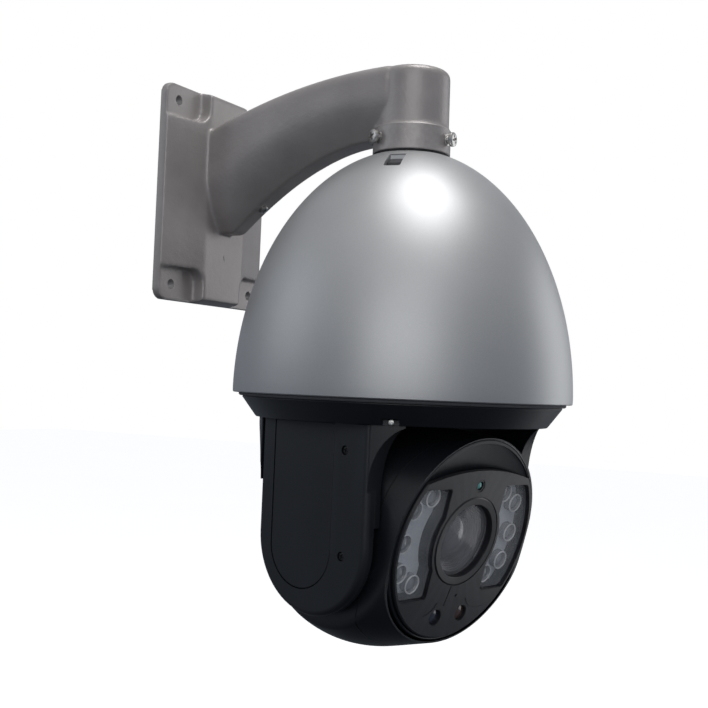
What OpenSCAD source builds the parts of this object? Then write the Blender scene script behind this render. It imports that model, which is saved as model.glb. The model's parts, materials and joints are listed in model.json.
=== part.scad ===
// Wall-mounted pan and tilt dome camera.
// Origin: centre of the wall plate's back face. +Z up, the arm reaches towards -Y.

/* [Wall bracket] */
// Distance from the wall to the pan axis
reach = 165; // [150:1:200]
// Width of the wall plate
plate_w = 118; // [108:1:145]
// Height of the wall plate
plate_h = 150; // [138:1:185]
// Thickness of the plate at its corner pads
plate_t = 6; // [5:0.5:9]
// Spacing of the wall bolts across
bolt_dx = 92; // [84:1:94]
// Spacing of the wall bolts up
bolt_dz = 128; // [118:1:130]
// Diameter of the wall bolt holes
bolt_d = 7; // [5:0.5:8.5]
// Width of the arm
arm_w = 48; // [42:1:48]
// Wall thickness of the casting
cast_wall = 4; // [3:0.5:5]
// Outer diameter of the collar's lower ring
collar_d = 51; // [50:1:60]
// Bore of the collar that takes the neck
collar_bore_d = 40.4; // [36:0.2:42]
// Depth of the collar's lower ring
clamp_h = 17; // [13:0.5:18]

/* [Shell] */
// Diameter of the shell at its rim
shell_d = 220; // [214:1:260]
// Height of the half ellipse that the shell follows
shell_h = 162; // [158:1:200]
// Wall thickness of the shell
shell_wall = 3; // [2:0.5:4]
// Bore through the neck
neck_bore_d = 32; // [24:1:32]
// Thickness of the seal under the collar
neck_seal_t = 1.5; // [1:0.5:4]

/* [Base ring] */
// Outer diameter of the base ring at its lower edge
ring_d = 190; // [189:1:194]
// Outer diameter of the base ring at its upper edge
ring_top_d = 208; // [204:1:212]
// Depth of the base ring with its seal
ring_h = 15; // [13:0.5:24]

/* [Yoke] */
// Drop from the rim to the tilt axis
tilt_drop = 86; // [84:0.5:100]
// Distance between the outer faces of the two arms
yoke_w = 158; // [154:1:160]
// Distance between the inner faces of the two arms
yoke_gap = 134; // [134:1:136]
// Radius of the rounded arm ends
yoke_end_r = 46; // [40:1:48]
// Radius of the hollow that the head turns in
hollow_r = 100; // [99.5:0.5:101]

/* [Head] */
// Radius of the ball at its middle
ball_r = 72; // [66:1:74]
// Radius of the round front
face_r = 66.4; // [60:0.2:66.4]
// Height of the lens axis above the tilt axis
lens_rise = 15; // [8:0.5:16]
// Distance from the tilt axis to the front rim
rim_reach = 54; // [50:0.5:55]
// Wall thickness of the head
head_wall = 2.5; // [2:0.5:3]
// Radius of the front glass
glass_r = 23.6; // [18:0.2:25]

/* [Drives] */
// Ratio of each belt drive
drive_ratio = 4; // [3:0.5:4]
// Radius of the large pan pulley
pan_pulley_r = 40; // [34:1:42]
// Radius of the large tilt pulley
tilt_pulley_r = 20; // [16:1:21]
// Radius of the pan shaft
pan_shaft_r = 15; // [13:0.5:17]
// Radius of the tilt shafts
tilt_shaft_r = 7.5; // [6:0.5:9]

/* [Stored pose] */
// Pan of the head from straight ahead
pan_rest = -14; // [-180:1:180]
// Tilt of the head below level
tilt_rest = 15; // [0:1:90]

/* [Hidden] */
$fn = 96;
eps = 0.01;
run_gap = 0.05;      // radial running clearance of a shaft
fit_gap = 0.2;       // clearance of pieces that are fitted once
move_gap = 0.5;      // clearance of faces that pass each other

// heights
collar_z = 23.5;                         // underside of the collar
collar_top_z = 79.6;
shell_top_z = collar_z - neck_seal_t;
shell_flat_r = 24.8;                     // flat land under the neck seal
shell_rise = shell_h * sqrt(1 - pow(shell_flat_r / (shell_d / 2), 2));
rim_z = shell_top_z - shell_rise;
ring_z = rim_z - ring_h;
tilt_z = rim_z - tilt_drop;

// bracket
plate_r = 7;
arm_top_bow = 1.25;
arm_edge_r = 6;
cover_y0 = 44;                           // ends of the underside cover, from the wall
cover_y1 = reach - collar_d / 2 + 3;
neck_groove_r = 18.5;
block_w = 44;                            // raised band up the plate's middle
block_t = 16;
pad_z = plate_h / 2 - 23;                // inner edge of the corner pads
pad_r = 10;
arm_foot_w = 20;                         // width of the arm's underside
arm_root_y = block_t - 2;
arm_top_root_z = 49;
arm_low_root_z = -38;
arm_low_min_z = -24;
arm_low_end_z = 33;
arm_side_share = 0.42;                   // upper part of the arm with upright sides
upper_collar_r = collar_d / 2 - 1.2;
cover_w = 12;
cover_t = 2.5;
clamp_z = collar_z + clamp_h / 2 + 0.3;
clamp_stand = 2.6;                       // the clamp screws' heads stand this far off the collar
clamp_turns = [150, 270, 30];
clamp_r = 2.5;

cover_spans = 12;                        // straight spans that the cover is made of
function cover_at(i) = let (a = cover_y0 + fit_gap, b = cover_y1 - fit_gap) a + (b - a) * i / cover_spans;

// shell and neck
ceiling_r = 38;                          // flat ceiling inside the shell
ceiling_z = rim_z + (shell_h - shell_wall) * sqrt(1 - pow(ceiling_r / (shell_d / 2 - shell_wall), 2));
function shell_radius_at(z) = shell_d / 2 * sqrt(1 - pow((z - rim_z) / shell_h, 2));
neck_r = collar_bore_d / 2 - fit_gap;
neck_top_z = 62;
neck_flange_r = 33;
neck_flange_t = 4;
pocket_turn = 194;
pocket_z = 12;
pocket_w = 10.6;
pocket_h = 11;
plug_sink = 1.5;                         // depth of the plug's face below the shell

// base ring and chassis
seal_t = 2;
ring_lip_r = ring_d / 2 - 2.3;           // inner face beside the turning disc
disc_r = ring_lip_r - move_gap;
disc_t = 5;
ring_shelf_r = 80;
ring_screw_turns = [204, 324, 84];
ring_notch_d = 2.1;
post_r = 4;
post_ring_r = 87;
post_turns = [45, 135, 225, 315];
chassis_t = 4;
chassis_r = 92;
chassis_z = rim_z + 66;
bearing_r = 24;
bearing_t = 10;
bearing_z = chassis_z - 3;
cap_wall = 4;
cap_h = 19;
slip_r = 10.5;
pan_motor_len = 24;
board_post_x = 30;
board_post_y = 28;
board_z = chassis_z + 40;

// turning frame
dome_wall = 3;
web_t = 3;                               // inner plate of each arm
tray_t = 5;                              // depth of the frame's tray
skin_t = 2.5;
arm_in = yoke_gap / 2;
arm_out = yoke_w / 2;
skin_in = arm_out - skin_t - 0.5;        // inner face of the arm covers
boss_r = 3.5;
flare_r = 23;
flare_foot = 0.8;                        // thickness where a flare runs out
hub_r = 30;
hub_top = hollow_r + 8;
shaft_flange_r = 26;
shaft_flange_t = 5;
shaft_bore_r = 11;
shaft_screw_ring = 21;
shaft_screw_turns = [0, 90, 180, 270];
ring_clip_t = 2;
edge_round = 5;
shaft_top_z = chassis_z + 18;
pan_pulley_z = chassis_z - 16;
pulley_t = 8;
small_pan_r = pan_pulley_r / drive_ratio;
pan_centres = 62;
pan_motor_turn = -20;
motor_side = 35;
motor_pilot_r = 11;
motor_shaft_r = 2.5;
tilt_motor_rise = hollow_r + 14;
tilt_motor_len = 26;
small_tilt_r = tilt_pulley_r / drive_ratio;
belt_t = 1.6;
belt_gap = 0.3;
belt_w = 5;
tilt_pulley_x = arm_in + web_t + move_gap;
tilt_pulley_t = 5;
tilt_belt_w = 2.8;
tilt_slot_t = 7;
panel_r = 26;
panel_y = 8;
panel_z = -5;
panel_gap = 0.5;
screw_y = -27;
screw_zs = [55, -7];
tilt_bearing_r = 12;
tilt_flange_r = 18;
tilt_bore_r = 4;

// head
side_x = arm_in - 1.5;                   // flat sides of the ball
side_edge_r = ball_r * 0.75;
split_y = -38;                           // joint between rear shell and front frame
seal_gap = 0.8;
brow_sink = 3;
face_front = rim_reach + 2;
panel_t = 3;
window_t = 2;
window_sink = 2.5;
brow_rise = 46;
brow_drop = 7;
lens_ring_r = glass_r + 5.2;
lens_ring_in = glass_r + 0.2;
glass_sink = 3.2;                        // the front glass lies this far behind the panel
glass_t = 1.8;
window_in_x = 27;
window_half_h = 35;
window_out_r = face_r - 5.4;
led_board_y = -face_front + 10;
led_h = 4;
led_r = 6.2;
led_spots = [[36, 28], [49.5, 20.5], [52, 0], [49.5, -19], [36, -27]];
eye_x = 12.6;
eye_z = -49;
eye_r = 5;
sensor_r = 3;
sensor_z = lens_ring_r + 7.2;
barrel_r = 22;
barrel_in_r = 18;
group_r = barrel_in_r - run_gap;
module_w = 50;
module_h = 56;
module_back = ball_r - 36;               // the rear shell's back is 36 behind it
module_front = -8;
barrel_front = -face_front + glass_sink + glass_t + fit_gap;

// ---------- frames ----------
module at_pan_axis() {
    translate([0, -reach, 0]) children();
}
module at_yoke() {
    at_pan_axis() translate([0, 0, tilt_z]) rotate([0, 0, pan_rest]) children();
}
// in this frame the lens looks along -Y
module at_head() {
    at_yoke() rotate([tilt_rest, 0, 0]) children();
}
module at_face() {
    at_head() translate([0, 0, lens_rise]) children();
}
// a cylinder along X between two planes
module x_rod(x0, x1, r) {
    translate([x0, 0, 0]) rotate([0, 90, 0]) cylinder(h = x1 - x0, r = r);
}
// a cylinder along -Y from y0 (front) to y1 (back)
module y_rod(y0, y1, r) {
    translate([0, y1, 0]) rotate([90, 0, 0]) cylinder(h = y1 - y0, r = r);
}
// stands a flat outline in the XZ plane and gives it depth from y0 to y1
module y_plate(y0, y1) {
    translate([0, y1, 0]) rotate([90, 0, 0]) linear_extrude(y1 - y0) children();
}
// stands a flat outline (its X is Y, its Y is Z) and gives it depth from x0 to x1
module x_plate(x0, x1) {
    translate([x0, 0, 0]) rotate([90, 0, 90]) linear_extrude(x1 - x0) children();
}
module tube(h, r_out, r_in) {
    difference() {
        cylinder(h = h, r = r_out);
        translate([0, 0, -1]) cylinder(h = h + 2, r = r_in);
    }
}
module pan_head_screw(head_r, head_h, shank_r, length) {
    cylinder(h = head_h, r1 = head_r, r2 = head_r * 0.8);
    translate([0, 0, -length]) cylinder(h = length + eps, r = shank_r);
}

// ---------- outlines ----------
function arc(cx, cy, r, a0, a1, n = 12) =
    [for (i = [0 : n]) let (a = a0 + (a1 - a0) * i / n) [cx + r * cos(a), cy + r * sin(a)]];
function rounded_rect(w, h, r) = concat(
    arc(w / 2 - r, h / 2 - r, r, 0, 90, 8), arc(-w / 2 + r, h / 2 - r, r, 90, 180, 8),
    arc(-w / 2 + r, -h / 2 + r, r, 180, 270, 8), arc(w / 2 - r, -h / 2 + r, r, 270, 360, 8));
function backwards(p) = [for (i = [len(p) - 1 : -1 : 0]) p[i]];
// half an ellipse's outline from the equator up to the height where its radius is r_top
function dome_line(a, b, r_top, n = 28) =
    let (t_top = acos(r_top / a))
    [for (i = [0 : n]) let (t = t_top * i / n) [a * cos(t), b * sin(t)]];

// ---------- bracket ----------
function arm_top(y) = collar_top_z - (collar_top_z - arm_top_root_z) * pow(1 - y / reach, 2) * arm_top_bow;
function arm_low(y) = max(arm_low_min_z, arm_low_end_z - (arm_low_end_z - arm_low_root_z)
    * pow(max(0, 1 - (y - arm_root_y) / (reach - arm_root_y - collar_d / 2)), 1.8));
// cross-section of the arm at distance y from the wall, taken in by t on every side
function arm_section(y, t) =
    let (top = arm_top(y) - t, low = arm_low(y) + t, side = arm_w / 2 - t, foot = arm_foot_w / 2 - t * 0.3,
         round = arm_edge_r, mid = top - (top - low) * arm_side_share,
         knee = side * 0.8 + foot * 0.2, knee_z = mid - (mid - low) * 0.45)
    concat(
        [for (k = [0 : 4]) [side - round + round * sin(k * 22.5), top - round + round * cos(k * 22.5)]],
        [[side, mid], [knee, knee_z], [foot, low], [-foot, low], [-knee, knee_z], [-side, mid]],
        [for (k = [4 : -1 : 0]) [-side + round - round * sin(k * 22.5), top - round + round * cos(k * 22.5)]]);
module arm_body(y0, y1, t) {
    steps = 28;
    rings = [for (i = [0 : steps]) let (y = y0 + (y1 - y0) * i / steps)
        [for (p = arm_section(y, t)) [p[0], -y, p[1]]]];
    n = len(rings[0]);
    sides = [for (i = [0 : steps - 1], k = [0 : n - 1])
        let (a = i * n + k, b = i * n + (k + 1) % n) each [[a, a + n, b], [a + n, b + n, b]]];
    ends = [[for (k = [0 : n - 1]) k], [for (k = [n - 1 : -1 : 0]) steps * n + k]];
    polyhedron(points = [for (r = rings) each r], faces = [for (f = concat(ends, sides)) backwards(f)],
        convexity = 6);
}
// a band that follows the arm's underside
module low_band(y0, y1, z0, z1, w) {
    line = [for (i = [0 : cover_spans]) let (y = y0 + (y1 - y0) * i / cover_spans) [-y, arm_low(y)]];
    x_plate(-w / 2, w / 2)
        polygon(concat([for (p = line) [p[0], p[1] + z0]], backwards([for (p = line) [p[0], p[1] + z1]])));
}
// cuts one corner pad down to the plate's own thickness, with a rounded inner corner
module pad_pocket() {
    inner_x = block_w / 2;
    y_plate(-block_t - 1, -plate_t)
        polygon(concat(arc(inner_x + pad_r, pad_z + pad_r, pad_r, 180, 270, 8),
            [[plate_w, pad_z], [plate_w, plate_h], [inner_x, plate_h]]));
}
module plate_body() {
    difference() {
        hull() {
            y_plate(-plate_t - 1, 0) polygon(rounded_rect(plate_w, plate_h, plate_r));
            translate([-block_w / 2, -block_t, -plate_h / 2 + 2]) cube([block_w, 1, plate_h - 4]);
        }
        pad_pocket();
        mirror([1, 0, 0]) pad_pocket();
        mirror([0, 0, 1]) pad_pocket();
        mirror([1, 0, 0]) mirror([0, 0, 1]) pad_pocket();
    }
}
module wall_bracket() {
    color("#8f8783") difference() {
        union() {
            plate_body();
            arm_body(arm_root_y - 4, reach - 8, 0);
            at_pan_axis() {
                translate([0, 0, collar_z]) cylinder(h = clamp_h, r = collar_d / 2);
                translate([0, 0, collar_z + 1]) cylinder(h = collar_top_z - collar_z - 1, r = upper_collar_r);
            }
        }
        // cable way from the wall to the collar
        arm_body(-1, reach - 14, cast_wall);
        // slot that the cover closes
        low_band(cover_y0, cover_y1, -20, cast_wall + 3, cover_w);
        at_pan_axis() {
            translate([0, 0, collar_z - 1])
                cylinder(h = collar_top_z - collar_z - cast_wall + 1, r = collar_bore_d / 2);
            for (a = clamp_turns)
                rotate([0, 0, a]) translate([0, 0, clamp_z]) x_rod(neck_r - 3, collar_d, clamp_r + run_gap);
        }
        for (x = [-1, 1], z = [-1, 1])
            translate([x * bolt_dx / 2, 0, z * bolt_dz / 2]) y_rod(-plate_t - 1, 1, bolt_d / 2);
    }
}
module arm_cover() {
    color("#7d7571") low_band(cover_y0 + fit_gap, cover_y1 - fit_gap, 0, cover_t, cover_w - 2 * fit_gap);
}
// heads that lie flat on the cover's first and last span
module arm_cover_screws() {
    color("silver")
        for (i = [0, cover_spans - 1]) {
            y0 = cover_at(i);
            y1 = cover_at(i + 1);
            slope = atan((arm_low(y1) - arm_low(y0)) / (y1 - y0));
            translate([0, -(y0 + y1) / 2, (arm_low(y0) + arm_low(y1)) / 2]) rotate([-slope, 0, 0])
                mirror([0, 0, 1]) cylinder(h = 2, r = 3.5);
        }
}
module clamp_screws() {
    color("silver") at_pan_axis()
        for (a = clamp_turns)
            rotate([0, 0, a]) translate([collar_d / 2 + clamp_stand, 0, clamp_z]) rotate([0, 90, 0])
                pan_head_screw(4.6, 3.4, clamp_r, collar_d / 2 + clamp_stand - neck_groove_r);
}
module neck() {
    color("#3c3c3e") at_pan_axis() difference() {
        union() {
            translate([0, 0, ceiling_z - neck_flange_t]) cylinder(h = neck_flange_t, r = neck_flange_r);
            translate([0, 0, ceiling_z - eps]) cylinder(h = neck_top_z - ceiling_z + eps, r = neck_r);
        }
        translate([0, 0, ceiling_z - 20]) cylinder(h = 200, r = neck_bore_d / 2);
        translate([0, 0, clamp_z - clamp_r - 1]) tube(2 * clamp_r + 2, neck_r + 5, neck_groove_r);
    }
}
module neck_seal() {
    color("#151515") at_pan_axis() translate([0, 0, shell_top_z])
        tube(neck_seal_t, shell_flat_r, neck_r + fit_gap);
}

// ---------- shell ----------
module shell_pocket_shape(grow, depth) {
    r = shell_radius_at(pocket_z);
    rotate([0, 0, pocket_turn]) translate([r - depth, -pocket_w / 2 - grow, pocket_z - pocket_h / 2 - grow])
        cube([depth + 20, pocket_w + 2 * grow, pocket_h + 2 * grow]);
}
module shell() {
    inner_a = shell_d / 2 - shell_wall;
    inner_b = shell_h - shell_wall;
    color("#a7a6a8") at_pan_axis() difference() {
        translate([0, 0, rim_z]) rotate_extrude()
            polygon(concat(dome_line(shell_d / 2, shell_h, shell_flat_r), [[neck_r + fit_gap, shell_rise]],
                [[neck_r + fit_gap, ceiling_z - rim_z]], backwards(dome_line(inner_a, inner_b, ceiling_r))));
        shell_pocket_shape(0, 5);
    }
}
module shell_plug() {
    color("#4a4a4c") at_pan_axis() intersection() {
        shell_pocket_shape(-fit_gap, 4.8);
        translate([0, 0, rim_z]) rotate_extrude()
            polygon(concat([[0, 0]], dome_line(shell_d / 2 - plug_sink, shell_h - plug_sink, shell_flat_r),
                [[0, shell_rise - plug_sink]]));
    }
}

// ---------- base ring and chassis ----------
module rim_seal() {
    color("#8b8b8d") at_pan_axis() translate([0, 0, rim_z - seal_t])
        tube(seal_t, ring_top_d / 2 + 2, ring_shelf_r + 14);
}
module base_ring() {
    top = ring_h - seal_t;
    shelf = disc_t + move_gap;
    color("#1b1b1d") at_pan_axis() difference() {
        translate([0, 0, ring_z]) rotate_extrude()
            polygon([[ring_lip_r, 0], [ring_d / 2, 0], [ring_top_d / 2, top], [ring_shelf_r, top],
                [ring_shelf_r, shelf], [ring_lip_r, shelf]]);
        for (a = ring_screw_turns)
            rotate([0, 0, a]) translate([ring_d / 2 - ring_notch_d, -5.5, ring_z - 1]) cube([20, 11, 5]);
        for (a = post_turns)
            rotate([0, 0, a]) translate([post_ring_r, 0, ring_z + top - 4]) cylinder(h = 9, r = post_r - 1.5);
    }
}
module ring_screws() {
    color("silver") at_pan_axis()
        for (a = ring_screw_turns)
            rotate([0, 0, a]) translate([ring_d / 2 - ring_notch_d, 0, ring_z + 1.9]) rotate([0, 90, 0])
                cylinder(h = 2.2, r = 1.8);
}
module chassis_posts() {
    base = rim_z - seal_t;
    color("gold") at_pan_axis()
        for (a = post_turns)
            rotate([0, 0, a]) translate([post_ring_r, 0, base]) {
                cylinder(h = chassis_z - base, r = post_r);
                translate([0, 0, -3.5]) cylinder(h = 4, r = post_r - 1.5 - run_gap);
            }
}
module chassis_plate() {
    color("#b9bcc0") at_pan_axis() difference() {
        translate([0, 0, chassis_z]) cylinder(h = chassis_t, r = chassis_r);
        translate([0, 0, chassis_z - 1]) cylinder(h = chassis_t + 2, r = bearing_r + run_gap);
        rotate([0, 0, pan_motor_turn]) translate([pan_centres, 0, chassis_z - 1])
            cylinder(h = chassis_t + 2, r = motor_pilot_r + fit_gap);
        for (a = [45, 135, 225, 315])
            rotate([0, 0, a + 25]) translate([62, 0, chassis_z - 1]) cylinder(h = chassis_t + 2, r = 9);
    }
}
module pan_bearing() {
    color("#c9ccd0") at_pan_axis() translate([0, 0, bearing_z])
        tube(bearing_t, bearing_r, pan_shaft_r + run_gap);
}
module bearing_cap() {
    z = chassis_z + chassis_t;
    color("#9aa0a6") at_pan_axis() difference() {
        translate([0, 0, z]) cylinder(h = cap_h, r = bearing_r + cap_wall);
        translate([0, 0, z - 1]) cylinder(h = cap_h - cap_wall + 1, r = bearing_r + fit_gap);
        translate([0, 0, z]) cylinder(h = cap_h + 1, r = slip_r + fit_gap);
    }
}
module slip_ring() {
    top = chassis_z + chassis_t + cap_h;
    color("#7a3a2a") at_pan_axis() {
        translate([0, 0, top]) cylinder(h = 4, r = slip_r + 4.5);
        translate([0, 0, top - 42]) cylinder(h = 42 + eps, r = slip_r);
    }
}
module stepper(length) {
    // the shaft runs down from the mounting face at z = 0, the body stands above it
    translate([-motor_side / 2, -motor_side / 2, 0]) cube([motor_side, motor_side, length]);
    translate([0, 0, -2]) cylinder(h = 2 + eps, r = motor_pilot_r);
}
module at_pan_motor() {
    at_pan_axis() rotate([0, 0, pan_motor_turn]) translate([pan_centres, 0, 0]) children();
}
module pan_motor() {
    color("#2c2c30") at_pan_motor() translate([0, 0, chassis_z + chassis_t]) {
        stepper(pan_motor_len);
        translate([0, 0, pan_pulley_z - chassis_z - chassis_t])
            cylinder(h = chassis_z + chassis_t - pan_pulley_z, r = motor_shaft_r);
    }
}
// a flanged belt pulley with a bore; the belt lies between the flanges
module pulley(r, h, bore) {
    difference() {
        union() {
            cylinder(h = h, r = r);
            cylinder(h = 0.9, r = r + belt_t + 0.6);
            translate([0, 0, h - 0.9]) cylinder(h = 0.9, r = r + belt_t + 0.6);
        }
        translate([0, 0, -1]) cylinder(h = h + 2, r = bore);
    }
}
// a closed belt round two pulleys whose centres are d apart along X
module belt(r0, r1, d, w) {
    a = acos((r0 - r1) / d);
    function loop(g) = concat(arc(0, 0, r0 + g, a, 360 - a, 36), arc(d, 0, r1 + g, -a, a, 18));
    linear_extrude(w) difference() {
        polygon(loop(belt_gap + belt_t));
        polygon(loop(belt_gap));
    }
}
module pan_motor_pulley() {
    color("#c9ccd0") at_pan_motor() translate([0, 0, pan_pulley_z])
        pulley(small_pan_r, pulley_t, motor_shaft_r + run_gap);
}
module pan_belt() {
    color("#202022") at_pan_axis() rotate([0, 0, pan_motor_turn])
        translate([0, 0, pan_pulley_z + (pulley_t - belt_w) / 2])
            belt(pan_pulley_r, small_pan_r, pan_centres, belt_w);
}
module at_board_posts() {
    at_pan_axis() for (x = [-1, 1], y = [-1, 1]) translate([x * board_post_x, y * board_post_y, 0]) children();
}
module board_posts() {
    color("gold") at_board_posts() translate([0, 0, chassis_z + chassis_t])
        cylinder(h = board_z - chassis_z - chassis_t, r = 3);
}
module power_board() {
    color("#1f5a34") at_pan_axis() translate([-42, -34, board_z]) cube([84, 68, 1.6]);
}
module board_parts() {
    color("#26262a") at_pan_axis() translate([0, 0, board_z + 1.6]) {
        for (x = [-28, -14]) translate([x, 16, 0]) cylinder(h = 14, r = 5);
        translate([8, 8, 0]) cube([20, 18, 9]);
        translate([-12, -14, 0]) cube([18, 18, 2.4]);
        for (y = [-24, -10]) translate([24, y, 0]) cube([10, 11, 8]);
    }
}

// ---------- turning frame ----------
function arm_outline(r, top) = concat([[r, top]], arc(0, 0, r, 0, -180, 32), [[-r, top]]);
module both_sides() {
    children();
    mirror([1, 0, 0]) children();
}
// everything on the head side of the two flat faces, inside radius r
module hollow_shape(r, half) {
    intersection() {
        sphere(r = r);
        translate([-half, -r - 1, -r - 1]) cube([2 * half, 2 * r + 2, 2 * r + 2]);
    }
}
module yoke_frame() {
    disc_z = ring_z - tilt_z;
    top_z = disc_z + disc_t;
    motor_plate_h = tilt_motor_rise + motor_side / 2 + 3;
    color("#1d1d20") at_yoke() difference() {
        union() {
            translate([0, 0, disc_z]) cylinder(h = disc_t, r = disc_r);
            intersection() {
                hollow_shape(hollow_r + dome_wall, arm_in + dome_wall);
                translate([-200, -200, disc_z]) cube([400, 400, 200]);
            }
            both_sides() x_plate(arm_in, arm_in + tray_t) polygon(arm_outline(yoke_end_r, disc_z + 1));
            // corner flares under the disc
            both_sides() intersection() {
                translate([0, 0, disc_z - flare_r]) cylinder(h = flare_r + 1, r = disc_r);
                translate([arm_in, 0, disc_z - flare_r]) difference() {
                    translate([0, -yoke_end_r - flare_r, 0])
                        cube([arm_out - arm_in, 2 * (yoke_end_r + flare_r), flare_r + 1]);
                    for (y = [-1, 1])
                        translate([-1, y * (yoke_end_r + flare_r + flare_foot), 0])
                            rotate([0, 90, 0]) cylinder(h = 40, r = flare_r);
                    translate([-1, -yoke_end_r, -1]) cube([40, 2 * yoke_end_r, flare_r + 1 - eps]);
                }
            }
            both_sides() for (z = screw_zs) translate([0, screw_y, z])
                x_rod(arm_in + web_t - 0.5, skin_in - 0.3, boss_r);
            // plate that carries the tilt motor
            translate([-arm_in - web_t, -24, top_z - 2]) cube([web_t, 48, motor_plate_h - top_z + 2]);
            translate([0, 0, hollow_r - 6]) cylinder(h = hub_top - hollow_r + 6, r = hub_r);
        }
        hollow_shape(hollow_r, arm_in);
        // hollow of each arm behind its cover, round the screw bosses
        both_sides() difference() {
            x_plate(arm_in + web_t, arm_in + tray_t + 1) polygon(arm_outline(yoke_end_r - skin_t, disc_z - 2));
            for (z = screw_zs) translate([0, screw_y, z]) x_rod(arm_in, arm_out, boss_r);
        }
        both_sides() for (z = screw_zs) translate([0, screw_y, z]) x_rod(arm_in + web_t + 0.5, arm_out, 1.4);
        // the tilt belt passes through the disc
        x_plate(-arm_in - web_t - tilt_slot_t, -arm_in - web_t)
            polygon([[-21, disc_z - 12], [21, disc_z - 12], [21, top_z + 1], [-21, top_z + 1]]);
        both_sides() x_rod(arm_in - 1, arm_in + web_t + 1, tilt_bearing_r + run_gap);
        translate([0, 0, tilt_motor_rise]) x_rod(-arm_in - web_t - 1, -arm_in + 1, motor_pilot_r + fit_gap);
        translate([0, 0, hollow_r - 20]) cylinder(h = 60, r = shaft_bore_r + 3);
        for (a = shaft_screw_turns)
            rotate([0, 0, a]) translate([shaft_screw_ring, 0, hub_top - 8]) cylinder(h = 20, r = 1.6);
    }
}
module pan_shaft() {
    base = tilt_z + hub_top;
    color("#b0b4b9") at_yoke() translate([0, 0, hub_top]) difference() {
        union() {
            cylinder(h = shaft_flange_t, r = shaft_flange_r);
            cylinder(h = shaft_top_z - base, r = pan_shaft_r);
        }
        translate([0, 0, -1]) cylinder(h = 200, r = shaft_bore_r);
        translate([0, 0, bearing_z + bearing_t - base]) tube(ring_clip_t, pan_shaft_r + 2, pan_shaft_r - 1.2);
        for (a = shaft_screw_turns)
            rotate([0, 0, a]) translate([shaft_screw_ring, 0, -1]) cylinder(h = 20, r = 1.8);
    }
}
module pan_shaft_screws() {
    color("silver") at_yoke()
        for (a = shaft_screw_turns)
            rotate([0, 0, a]) translate([shaft_screw_ring, 0, hub_top + shaft_flange_t])
                pan_head_screw(2.8, 2, 1.55, shaft_flange_t + 6);
}
module retaining_ring() {
    color("#888c90") at_pan_axis() translate([0, 0, bearing_z + bearing_t + move_gap])
        tube(ring_clip_t - 2 * move_gap, pan_shaft_r + 3.5, pan_shaft_r - 1.15);
}
module pan_pulley() {
    color("#c9ccd0") at_yoke() translate([0, 0, pan_pulley_z - tilt_z])
        pulley(pan_pulley_r, pulley_t, pan_shaft_r);
}
// the cover of one arm, with a window for its panel; drawn on the +X side
module arm_skin() {
    disc_z = ring_z - tilt_z;
    top = disc_z - move_gap;
    x0 = arm_in + tray_t;
    difference() {
        union() {
            x_plate(x0, arm_out - edge_round) polygon(arm_outline(yoke_end_r, top));
            hull() {
                x_plate(arm_out - edge_round, arm_out - edge_round + 1) polygon(arm_outline(yoke_end_r, top));
                x_plate(arm_out - edge_round * 0.3 - 0.1, arm_out - edge_round * 0.3)
                    polygon(arm_outline(yoke_end_r - edge_round * 0.3, top));
                x_plate(arm_out - 0.1, arm_out) polygon(arm_outline(yoke_end_r - edge_round, top));
            }
        }
        x_plate(x0 - 1, skin_in) polygon(arm_outline(yoke_end_r - skin_t - 1.2, top + 1));
        x_plate(arm_out - skin_t, arm_out + 1) panel_outline(0, top + 1);
        x_plate(x0 - 1, arm_out) panel_outline(-3, top - skin_t);
        for (z = screw_zs) translate([0, screw_y, z]) {
            x_rod(x0 - 1, arm_out + 1, 1.4);
            x_rod(arm_out - 1.6, arm_out + 1, 2.8);
        }
    }
}
module panel_outline(grow, top) {
    polygon(concat([[panel_y + panel_r + grow, top]], arc(panel_y, panel_z, panel_r + grow, 0, -180, 28),
        [[panel_y - panel_r - grow, top]]));
}
module left_arm_cover() {
    color("#1f1f22") at_yoke() mirror([1, 0, 0]) arm_skin();
}
module right_arm_cover() {
    color("#1f1f22") at_yoke() arm_skin();
}
module side_panel() {
    disc_z = ring_z - tilt_z;
    x_plate(arm_out - skin_t, arm_out - 0.3) panel_outline(-panel_gap, disc_z - move_gap);
}
module left_panel() {
    color("#26262a") at_yoke() mirror([1, 0, 0]) side_panel();
}
module right_panel() {
    color("#26262a") at_yoke() side_panel();
}
module arm_screws() {
    color("#3a3a3e") at_yoke() both_sides()
        for (z = screw_zs) translate([0, screw_y, z]) {
            x_rod(arm_out - 1.6, arm_out - 0.6, 2.6);
            x_rod(arm_in + tray_t + 1, arm_out - 1.6 + eps, 1.35);
        }
}
module left_tilt_bearing() {
    color("#c9ccd0") at_yoke() mirror([1, 0, 0]) tilt_bearing();
}
module right_tilt_bearing() {
    color("#c9ccd0") at_yoke() tilt_bearing();
}
module tilt_bearing() {
    difference() {
        x_rod(arm_in, arm_in + web_t, tilt_bearing_r);
        x_rod(arm_in - 1, arm_in + web_t + 1, tilt_shaft_r + run_gap);
    }
}
module tilt_motor() {
    color("#2c2c30") at_yoke() translate([-arm_in, 0, tilt_motor_rise]) rotate([0, 90, 0]) {
        stepper(tilt_motor_len);
        translate([0, 0, -web_t - move_gap - tilt_pulley_t])
            cylinder(h = web_t + move_gap + tilt_pulley_t, r = motor_shaft_r);
    }
}
// drawn from the arm's web outwards on the -X side
module at_tilt_pulley() {
    at_yoke() translate([-tilt_pulley_x, 0, 0]) rotate([0, -90, 0]) children();
}
module tilt_motor_pulley() {
    color("#c9ccd0") at_tilt_pulley() translate([tilt_motor_rise, 0, 0])
        pulley(small_tilt_r, tilt_pulley_t, motor_shaft_r + run_gap);
}
module tilt_belt() {
    color("#202022") at_tilt_pulley() translate([0, 0, (tilt_pulley_t - tilt_belt_w) / 2])
        belt(tilt_pulley_r, small_tilt_r, tilt_motor_rise, tilt_belt_w);
}

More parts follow.
